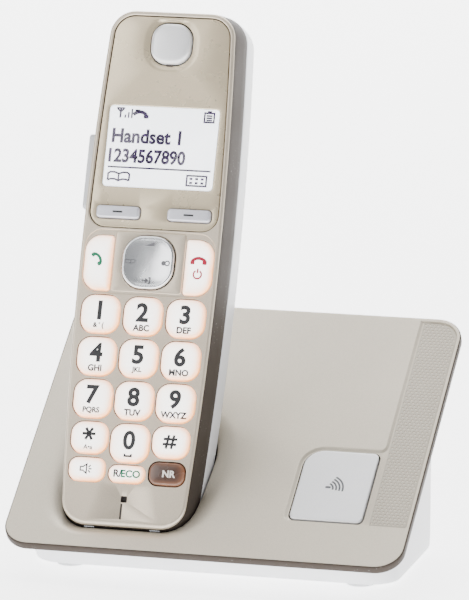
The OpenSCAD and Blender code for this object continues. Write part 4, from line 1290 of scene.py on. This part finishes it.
bars = [flat_area([(x, -1.6), (x + 0.55, -1.6), (x + 0.55, top), (x, top)]) for x,
        top in ((0.4, -0.5), (1.5, 0.4), (2.6, 1.5))]
aerial = [stroke([(-1.0, -1.6), (-1.0, 1.7)], 0.45), stroke([(-2.2, 1.6), (-1.0, 0.3), (0.2, 1.6)], 0.4),
          stroke([(-2.4, 1.65), (0.4, 1.65)], 0.35)]
receiver = [stroke(arc(0, -2.3, 2.9, 40, 100, 8), 0.8),
            flat_area(round_box(1.7, 1.25, 0.35, at=(2.15, -0.9), steps=3)),
            flat_area(round_box(1.7, 1.25, 0.35, at=(-0.9, 0.75), steps=3))]
battery = [stroke([(-1.6, -1.7), (1.6, -1.7), (1.6, 1.35), (-1.6, 1.35)], 0.4, True),
           stroke([(-0.7, 1.75), (0.7, 1.75)], 0.5)]
battery += [stroke([(-1.0, y), (1.0, y)], 0.38) for y in (-1.05, -0.3, 0.45)]
book = [stroke([(-3.6, -1.3), (-3.6, 0.9), (-2.9, 1.4), (-1.4, 1.4), (0, 0.9), (1.4, 1.4), (2.9, 1.4),
                (3.6, 0.9), (3.6, -1.3)], 0.42),
        stroke([(-3.6, -1.3), (-2.6, -0.9), (-1.2, -0.9), (0, -1.4), (1.2, -0.9), (2.6, -0.9),
                (3.6, -1.3)], 0.42), stroke([(0, 0.9), (0, -1.3)], 0.4)]
grid = [stroke([(-3.3, -1.7), (3.3, -1.7), (3.3, 1.6), (-3.3, 1.6)], 0.4, True)]
grid += [flat_area(round_box(1.0, 0.75, 0.1, at=(x, y), steps=2)) for x in (-1.9, 0, 1.9)
         for y in (-0.75, 0.6)]
figures = on_screen(bars + aerial, -13.9, 11.0) + on_screen(receiver, -8.3, 11.0) + on_screen(battery,
        15.2, 10.9)
figures += on_screen([flat_text("Handset 1", 4.9, width=23.4, weight=0.036), ], -5.3,
                     3.5) + on_screen([flat_text("1234567890", 4.9, width=26.0, weight=0.036)], -4.5,
                                      -3.1)
figures += on_screen([stroke([(-17.4, 0), (17.4, 0)], 0.4)], 0, -7.0) + on_screen(book, -13.4,
        -10.1) + on_screen(grid, 13.0, -10.3)
print_on(screen, figures, SCREEN_H, 1, rise=0.02, sink=0.05)
SCREEN_WHITE = display_glow("display_white", (0.95, 0.97, 1.0), 3.2)
SCREEN_INK = moulded("display_figures", (0.045, 0.02, 0.09), 0.5, dust=0.0)
finish("display_screen", screen, HAND, [SCREEN_WHITE, SCREEN_INK], "handset", ["lcd_module"])
print("display shows", len(figures), "marks")

# %% [markdown]
# ## Handset: earpiece and navigator
# Both are squarish rounds with a plated finish. The earpiece is a dome, and the navigator
# is dished so that a thumb finds its middle; its bright rim comes from the roll of the edge.

# %% Earpiece and navigator
def scaled(loop, at, share):
    return [(at[0] + (u - at[0]) * share, at[1] + (v - at[1]) * share) for u, v in loop]


def capped(shape, loop, at, rows, middle, paint=0):
    """Closes a top with rings that shrink to the middle; rows are (share, height)."""
    rings = [shape.ring(scaled(loop, at, share), h) for share, h in rows]
    for a, b in zip(rings, rings[1:]):
        shape.band(a, b, paint)
    shape.fan(rings[-1], (*at, middle), paint)


ear = Shape()
ear_base, _ = ear.bands([(ear_loop(g), h) for g,
                         h in ((0, -3.0), (0, -0.35), (-0.12, 0.1), (-0.4, 0.5), (-0.9, 0.8),
                               (-1.5, 0.95))])
ear.face(ear_base)
capped(ear, ear_loop(-1.5), EAR_AT, [(1, 0.95), (0.85, 1.04), (0.65, 1.12), (0.42, 1.18), (0.2, 1.2)],
       1.21)
finish("earpiece_dome", ear, HAND, [SATIN_SILVER], "handset", ["earpiece_cap"])

nav = Shape()
nav_base, _ = nav.bands([(nav_loop(g), h) for g,
                         h in ((0, -3.0), (0, 0.45), (-0.08, 0.8), (-0.28, 1.06), (-0.6, 1.18),
                               (-0.95, 1.16), (-1.3, 1.04))])
nav.face(nav_base)
capped(nav, nav_loop(-1.3), NAV_AT,
       [(1, 1.04), (0.88, 0.84), (0.72, 0.66), (0.52, 0.52), (0.3, 0.43), (0.14, 0.4)], 0.39)
wedge_mark = [flat_area([(-1.7, -0.55), (1.7, -0.55), (1.7, 0.75)])]
small_book = [moved(flat, scale=0.42) for flat in book]
ring_pair = [stroke(circle(0.75, (0.65, 0), 14), 0.3, True), flat_area(circle(0.8, (-0.65, 0), 14))]
arrow = [stroke([(-1.5, 0), (0.4, 0)], 0.32), stroke([(-0.35, 0.65), (0.45, 0), (-0.35, -0.65)], 0.32),
         stroke([(0.7, 0.95), (1.25, 0.95), (1.25, -0.95), (0.7, -0.95)], 0.3)]
nav_marks = [moved(flat, (NAV_AT[0] + u, NAV_AT[1] + v)) for marks, u, v in
             ((wedge_mark, 0, 6.0), (small_book, -5.9, 0), (ring_pair, 5.9, 0), (arrow, 0, -6.0))
             for flat in marks]
print_on(nav, nav_marks, surface_of(nav), 1, rise=0.06)
finish("navigator_dish", nav, HAND, [BRIGHT_SILVER, INK_GREY], "navigator_key",
       ["navigator_key"])
print("earpiece and navigator made")

# %% [markdown]
# ## Handset: the keys
# A key is a milky moulding with a rolled edge and a slightly crowned top. Its points carry
# edge_tint, which runs from 0 in the middle to 1 at the rim and is a little stronger at the
# lower right, where the lamps behind sit closer. The finish turns that into a warm glow.

# %% Keys
LEGENDS = {f"key_{n}": (str(n), text) for n,
           text in zip(range(1, 10), ("& ' (", "ABC", "DEF", "GHI", "JKL", "MNO", "PQRS", "TUV", "WXYZ"))}


def hook(turn, size=1.0):
    """A telephone receiver mark, turned."""
    marks = [stroke(arc(0, -2.6, 3.1, 42, 96, 8), 0.75),
             flat_area(round_box(1.5, 1.5, 0.4, at=(2.15, -0.95), steps=3)),
             flat_area(round_box(1.5, 1.5, 0.4, at=(-2.15, -0.95), steps=3))]
    return [moved(flat, turn=turn, scale=size) for flat in marks]


def legend(name):
    """The marks on one key as (flat, paint) pairs about the key's centre; paint 1 and 2 are inks."""
    if name in LEGENDS:
        figure, letters = LEGENDS[name]
        return [(flat_text(figure, 6.3, (0, 1.15), weight=0.035), 1),
                (flat_text(letters, 2.15, (0, -3.95), weight=0.036), 1)]
    if name == "key_0":
        return [(flat_text("0", 6.3, (0, 0.9), weight=0.03), 1),
                (stroke([(-1.1, -3.6), (-1.1, -4.3), (1.1, -4.3), (1.1, -3.6)], 0.42), 1)]
    if name == "key_star":
        spokes = [stroke([(-2.2 * math.cos(a), 1.1 - 2.2 * math.sin(a)),
                          (2.2 * math.cos(a), 1.1 + 2.2 * math.sin(a))], 0.62)
                  for a in [math.radians(t) for t in (0, 60, 120)]]
        return [(spoke, 1) for spoke in spokes] + [(flat_text("A•a", 1.5, (0, -3.2), weight=0.02), 1)]
    if name == "key_hash":
        lines = [[(-2.2, 0.95), (2.4, 0.95)], [(-2.4, -0.75), (2.2, -0.75)], [(-0.5, 2.3), (-1.2, -2.2)],
                 [(1.25, 2.3), (0.55, -2.2)]]
        return [(stroke(line, 0.58), 1) for line in lines]
    if name == "speaker_key":
        body = [(-1.9, -0.6), (-1.0, -0.6), (0.2, -1.5), (0.2, 1.5), (-1.0, 0.6), (-1.9, 0.6)]
        rays = [[(0.8, 0.5), (1.5, 1.2)], [(0.9, 0.0), (1.9, 0.0)], [(0.8, -0.5), (1.5, -1.2)]]
        return [(stroke(body, 0.3, True), 1)] + [(stroke(ray, 0.28), 1) for ray in rays]
    if name == "recall_key":
        return [(flat_text("R/", 2.5, (-2.7, 0), weight=0.035), 1),
                (flat_text("ECO", 2.5, (1.6, 0), weight=0.035), 2)]
    if name == "noise_key":
        return [(flat_text("NR", 2.3, (0.9, 0), weight=0.035), 1)]
    if name == "talk_key":
        return [(flat, 1) for flat in [moved(f, (0.2, 1.5)) for f in hook(-52, 0.85)]]
    power = [stroke(arc(0, -1.2, 1.35, 120, 300, 14), 0.36), stroke([(0, -0.7), (0, 0.75)], 0.36)]
    return [(moved(f, (0, 2.6)), 1) for f in hook(0, 0.95)] + [(moved(f, (0, -1.1)), 1) for f in power]


def push_key(name):
    """One key with its legend, riding on its own body."""
    at, size = KEY_AT[name]
    shape, dark = Shape(), name == "noise_key"
    proud, crown = (0.75, 0.22) if name in DIGIT_KEYS else (0.55, 0.2)
    flange = FLANGE.get(name, 0.45)

    def tint(loop, level):
        lean = [((u - at[0]) / size[0] - (v - at[1]) / size[1]) * 1.3 for u, v in loop]
        return [level * (0.72 + 0.28 * max(-1, min(1, side))) for side in lean]

    rows = [(flange, -3.1, 1), (flange, -2.2, 1), (0.0, -2.2, 1), (0.0, proud - 0.75, 1),
            (-0.08, proud - 0.42, 1.0), (-0.28, proud - 0.17, 0.95),
            (-0.6, proud - 0.04, 0.8), (-1.0, proud + 0.02, 0.5)]
    rings = []
    for grow, h, level in rows:
        loop = key_loop(name, grow)
        ring = shape.ring(loop, h)
        shape.tint.update(dict(zip(ring, tint(loop, level))))
        rings.append(ring)
    inner = key_loop(name, -1.0)
    for share, level in ((0.9, 0.3), (0.78, 0.14), (0.6, 0.04), (0.38, 0.0), (0.16, 0.0)):
        loop = scaled(inner, at, share)
        ring = shape.ring(loop, proud + 0.02 + crown * (1 - share ** 2))
        shape.tint.update(dict(zip(ring, tint(loop, level))))
        rings.append(ring)
    for a, b in zip(rings, rings[1:]):
        shape.band(a, b)
    shape.face(rings[0])
    shape.fan(rings[-1], (*at, proud + 0.02 + crown))
    ground = surface_of(shape)
    for flat, paint in legend(name):
        print_on(shape, [moved(flat, at)], ground, paint, rise=0.05)
    inks = {"talk_key": [INK_GREEN], "off_key": [INK_RED], "noise_key": [INK_PALE]}.get(name,
            [INK_BLACK, INK_GREEN])
    return finish(name + "_cap", shape, HAND, [KEY_BROWN if dark else KEY_WHITE] + inks, name,
                  [name])


for name in DIGIT_KEYS + ["talk_key", "off_key"]:
    push_key(name)
print(len(DIGIT_KEYS) + 2, "lit keys made, each",
      [round(c, 1) for c in KEY_AT["key_5"][1]], "mm")

# %% [markdown]
# ## Handset: soft keys and volume rocker
# The soft keys are painted bars near the lower edge of the panel. The rocker is a
# white bar in the left wall, so it is drawn on a board of its own that faces out of that wall.

# %% Soft keys and rocker
for name in ("soft_key_left", "soft_key_right"):
    bar = Shape()
    bar_low, bar_top = bar.bands([(key_loop(name, g), h) for g,
                                  h in ((0, -3.1), (0, 0.1), (-0.06, 0.38), (-0.3, 0.66), (-0.62, 0.78),
                                        (-0.95, 0.8))])
    bar.face(bar_low)
    bar.face(bar_top)
    print_on(bar, [flat_area(round_box(3.3, 0.62, 0.15, at=KEY_AT[name][0], steps=3))], 0.8, 1)
    finish(name + "_bar", bar, HAND, [KEY_SILVER, INK_BLACK], name, [name])

LEFT_WALL = HAND @ Matrix(((0, 0, -1, 0), (0, 1, 0, 0), (1, 0, 0, 0), (0, 0, 0, 1)))
ROCKER_AT, ROCKER_SIZE = (-6.4, sum(c[1] for c in reach("volume_rocker", HAND)) / 2), (4.4, 25.0)
rocker_out = -reach("volume_rocker", HAND)[0][0]
rocker = Shape()
rocker_low, rocker_top = rocker.bands([(round_box(*ROCKER_SIZE, 1.4, g, ROCKER_AT, steps=5, side=3),
                                        rocker_out + h)
    for g, h in ((0, -4.2), (0, -0.7), (-0.1, -0.35), (-0.35, -0.1), (-0.8, 0.0), (-1.2, 0.0))])
rocker.face(rocker_low)
rocker.face(rocker_top)
finish("volume_rocker_bar", rocker, LEFT_WALL, [WHITE_SHELL], "volume_rocker",
       ["volume_rocker"])
print("rocker stands to", round(rocker_out, 2), "mm from the handset's middle")

# %% [markdown]
# ## Handset: the rear cover
# The back is a white moulding with a large radius all round. It has a bed for the battery
# lid with the cells' bay in it, slots for the hands-free speaker and wells for the screws.
# All are cut with Booleans, because the lid's bed runs out into the rounded flanks.

# %% Rear cover
LID_LOW, LID_HIGH = reach("battery_cover", HAND)
LID_AT = ((LID_LOW[0] + LID_HIGH[0]) / 2, (LID_LOW[1] + LID_HIGH[1]) / 2)
LID_SIZE = (LID_HIGH[0] - LID_LOW[0], LID_HIGH[1] - LID_LOW[1])
CELLS = reach("batteries", HAND)
BAY_AT, BAY_SIZE = (0, (CELLS[0][1] + CELLS[1][1]) / 2), (CELLS[1][0] - CELLS[0][0] + 1.6,
        CELLS[1][1] - CELLS[0][1] + 4.2)


def lid_loop(g):
    return round_box(*LID_SIZE, 3.0, g, LID_AT, steps=6, side=2)


rear = Shape()
turns = [math.radians(a) for a in range(0, 91, 10)]
rear_rows = [(hand_loop(2.0), -11.06), (hand_loop(0.5), -11.06), (hand_loop(0.18), -11.14),
             (hand_loop(0.06), -11.4), (hand_loop(0.02), -12.2)]
rear_rows += [(hand_loop(0.02 + BACK_R * (1 - math.cos(a))), -HAND_T + BACK_R - BACK_R * math.sin(a))
              for a in turns]
_, rear_end = rear.bands(rear_rows)
rear.face(rear_end)
_, rear_inner = rear.bands([(hand_loop(2.0), -11.06), (hand_loop(2.1), -13.0)])
rear.sheet(rear_inner)
back_cover = finish("handset_rear_cover", rear, HAND, [WHITE_SHELL, RECESS_PAINTED_SHADE], "handset",
                    ["handset_rear_shell"])


def prism(loop, low, high, paint=0):
    """A closed block to cut with: a loop carried between two heights of the handset."""
    block = Shape()
    first, last = block.bands([(loop, low), (loop, high)], paint)
    block.face(first, paint)
    block.face(last, paint)
    return finish("cutter", block, HAND, [WHITE_SHELL, RECESS_PAINTED_SHADE], "handset")


SLOT_V, SLOT_PITCH, SCREW_SPOTS = 31.0, 2.2, ((0, 103.6), (-13, 8), (13, 8))
# Heights on the handset's board: clear of the back, and the floors of the bed, slots, bay and wells
OUTSIDE, BED_FLOOR, SLOT_FLOOR, BAY_FLOOR, WELL_FLOOR = -28, -25.3, -25.4, -13.4, -15.2
blocks = [prism(lid_loop(0.2), OUTSIDE, BED_FLOOR),
          prism(round_box(*BAY_SIZE, 0.8, 0, BAY_AT, steps=4), -25.9, BAY_FLOOR)]
# The slots and screw wells are cut with the second finish, so their walls come out near black: painted
# shade
blocks += [prism(round_box(20 - 2 * abs(n), 1.0, 0.48, 0, (0, SLOT_V + SLOT_PITCH * n), steps=4), OUTSIDE,
                 SLOT_FLOOR, 1) for n in range(-3, 4)]
blocks += [prism(circle(2.1, spot), OUTSIDE, WELL_FLOOR, 1) for spot in SCREW_SPOTS]
cut(back_cover, *blocks)
print("rear cover:", len(back_cover.data.polygons), "faces")

# %% [markdown]
# ## Cradle: slots for the charging blades
# The two sprung blades rise through the floor of the pocket. Each slot is the blade's own
# size with 0.4 mm of room round it and some more below, so the blade can travel.

# %% Blade slots
def blade_slot(part):
    """A block round a charging blade, with room for its travel."""
    low, high = reach(part, HAND)
    centre = ((low[0] + high[0]) / 2, (low[1] + high[1]) / 2 - 1.0)
    return prism(round_box(high[0] - low[0] + 0.8, high[1] - low[1] + 3.0, 0.1, at=centre), low[2] - 0.4,
                 high[2] + 0.4, 2)


face_plate = bpy.data.objects["cradle_face_plate"]
cut(face_plate, *[blade_slot(f"charge_contact_{side}") for side in ("left", "right")])
print("face plate with blade slots:", len(face_plate.data.polygons), "faces")

# %% [markdown]
# ## Handset: the battery lid
# The lid tips out about its lower edge. Its edges are rounded all round, and it sits in its
# bed with a little room on every side. The grip ridges are small rods set out with Geometry Nodes.

# %% Battery lid
ridge, ridge_in, ridge_out = geometry_tree("lid_ridges",
                                           [("Ridge Radius", FLOAT, 0.4), ("Ridge Length", FLOAT, 12.0),
    ("Sides", "NodeSocketInt", 10), ("Finish", "NodeSocketMaterial", None)])
rod = node(ridge, "GeometryNodeMeshCylinder",
           [("Vertices", ridge_in.outputs["Sides"]), ("Radius", ridge_in.outputs["Ridge Radius"]),
    ("Depth", ridge_in.outputs["Ridge Length"])])
laid = node(ridge, "GeometryNodeTransform", [("Geometry", rod.outputs["Mesh"])])
laid.inputs["Rotation"].default_value = (0, math.pi / 2, 0)
set_out = node(ridge, "GeometryNodeInstanceOnPoints",
               [("Points", ridge_in.outputs[0]), ("Instance", laid.outputs[0])])
solid = node(ridge, "GeometryNodeRealizeInstances", [("Geometry", set_out.outputs[0])])
coated = node(ridge, "GeometryNodeSetMaterial",
              [("Geometry", solid.outputs[0]), ("Material", ridge_in.outputs["Finish"])])
ridge.links.new(coated.outputs[0], ridge_out.inputs[0])

lid = Shape()
lid_in, lid_out = lid.bands([(lid_loop(g), h) for g,
                             h in ((-0.7, -25.42), (-0.3, -25.6), (-0.1, -25.85), (0, -26.2),
                                   (-0.18, -26.7), (-0.45, -26.9), (-0.9, -27.0))])
lid.sheet(lid_in)
lid.sheet(lid_out)
ridge_spots = [(0, LID_LOW[1] + LID_SIZE[1] - 6 - 1.6 * k, -26.9) for k in range(7)]
add_mesh(lid, instances_at(ridge, ridge_spots, {"Ridge Length": 13.0, "Finish": WHITE_SHELL}))
finish("battery_lid", lid, HAND, [WHITE_SHELL], "battery_cover", ["battery_cover"])
print("lid:", [round(s, 1) for s in LID_SIZE], "mm with", len(ridge_spots), "grip ridges")

# %% [markdown]
# ## Inner parts
# The parts inside keep their engineering shape. Each still gets its finish, because the
# jacks, blades, cells and screws can be seen when the handset is lifted or the lid is open.

# %% Inner parts
INNER = {"button_bracket": DARK_PLASTIC, "locator_switch": DARK_PLASTIC, "charge_contact_left": GOLD,
         "charge_contact_right": GOLD,
         "contact_holder": DARK_PLASTIC, "base_circuit_board": BOARD_GREEN, "line_jack": DARK_PLASTIC,
         "power_jack": DARK_PLASTIC,
         "rf_shield_can": STEEL, "board_components": DARK_PLASTIC, "base_antenna": GOLD,
         "base_screws": STEEL, "backlight_guide": SCREEN_WHITE,
         "receiver_capsule": DARK_PLASTIC, "navigator_pivot": DARK_PLASTIC, "keypad_mat": MAT_RUBBER,
         "handset_circuit_board": BOARD_GREEN,
         "handset_components": STEEL, "key_domes": STEEL, "batteries": CELL_WRAP,
         "battery_contacts": STEEL,
         "handset_charge_contacts": STEEL, "microphone": DARK_PLASTIC, "handsfree_speaker": DARK_PLASTIC,
         "handset_screws": STEEL}
for part, material in INNER.items():
    slots = frame["nodes"][part].material_slots
    if slots:
        for entry in slots:
            entry.material = material
    else:
        frame["nodes"][part].data.materials.append(material)
print(len(INNER), "inner parts finished")
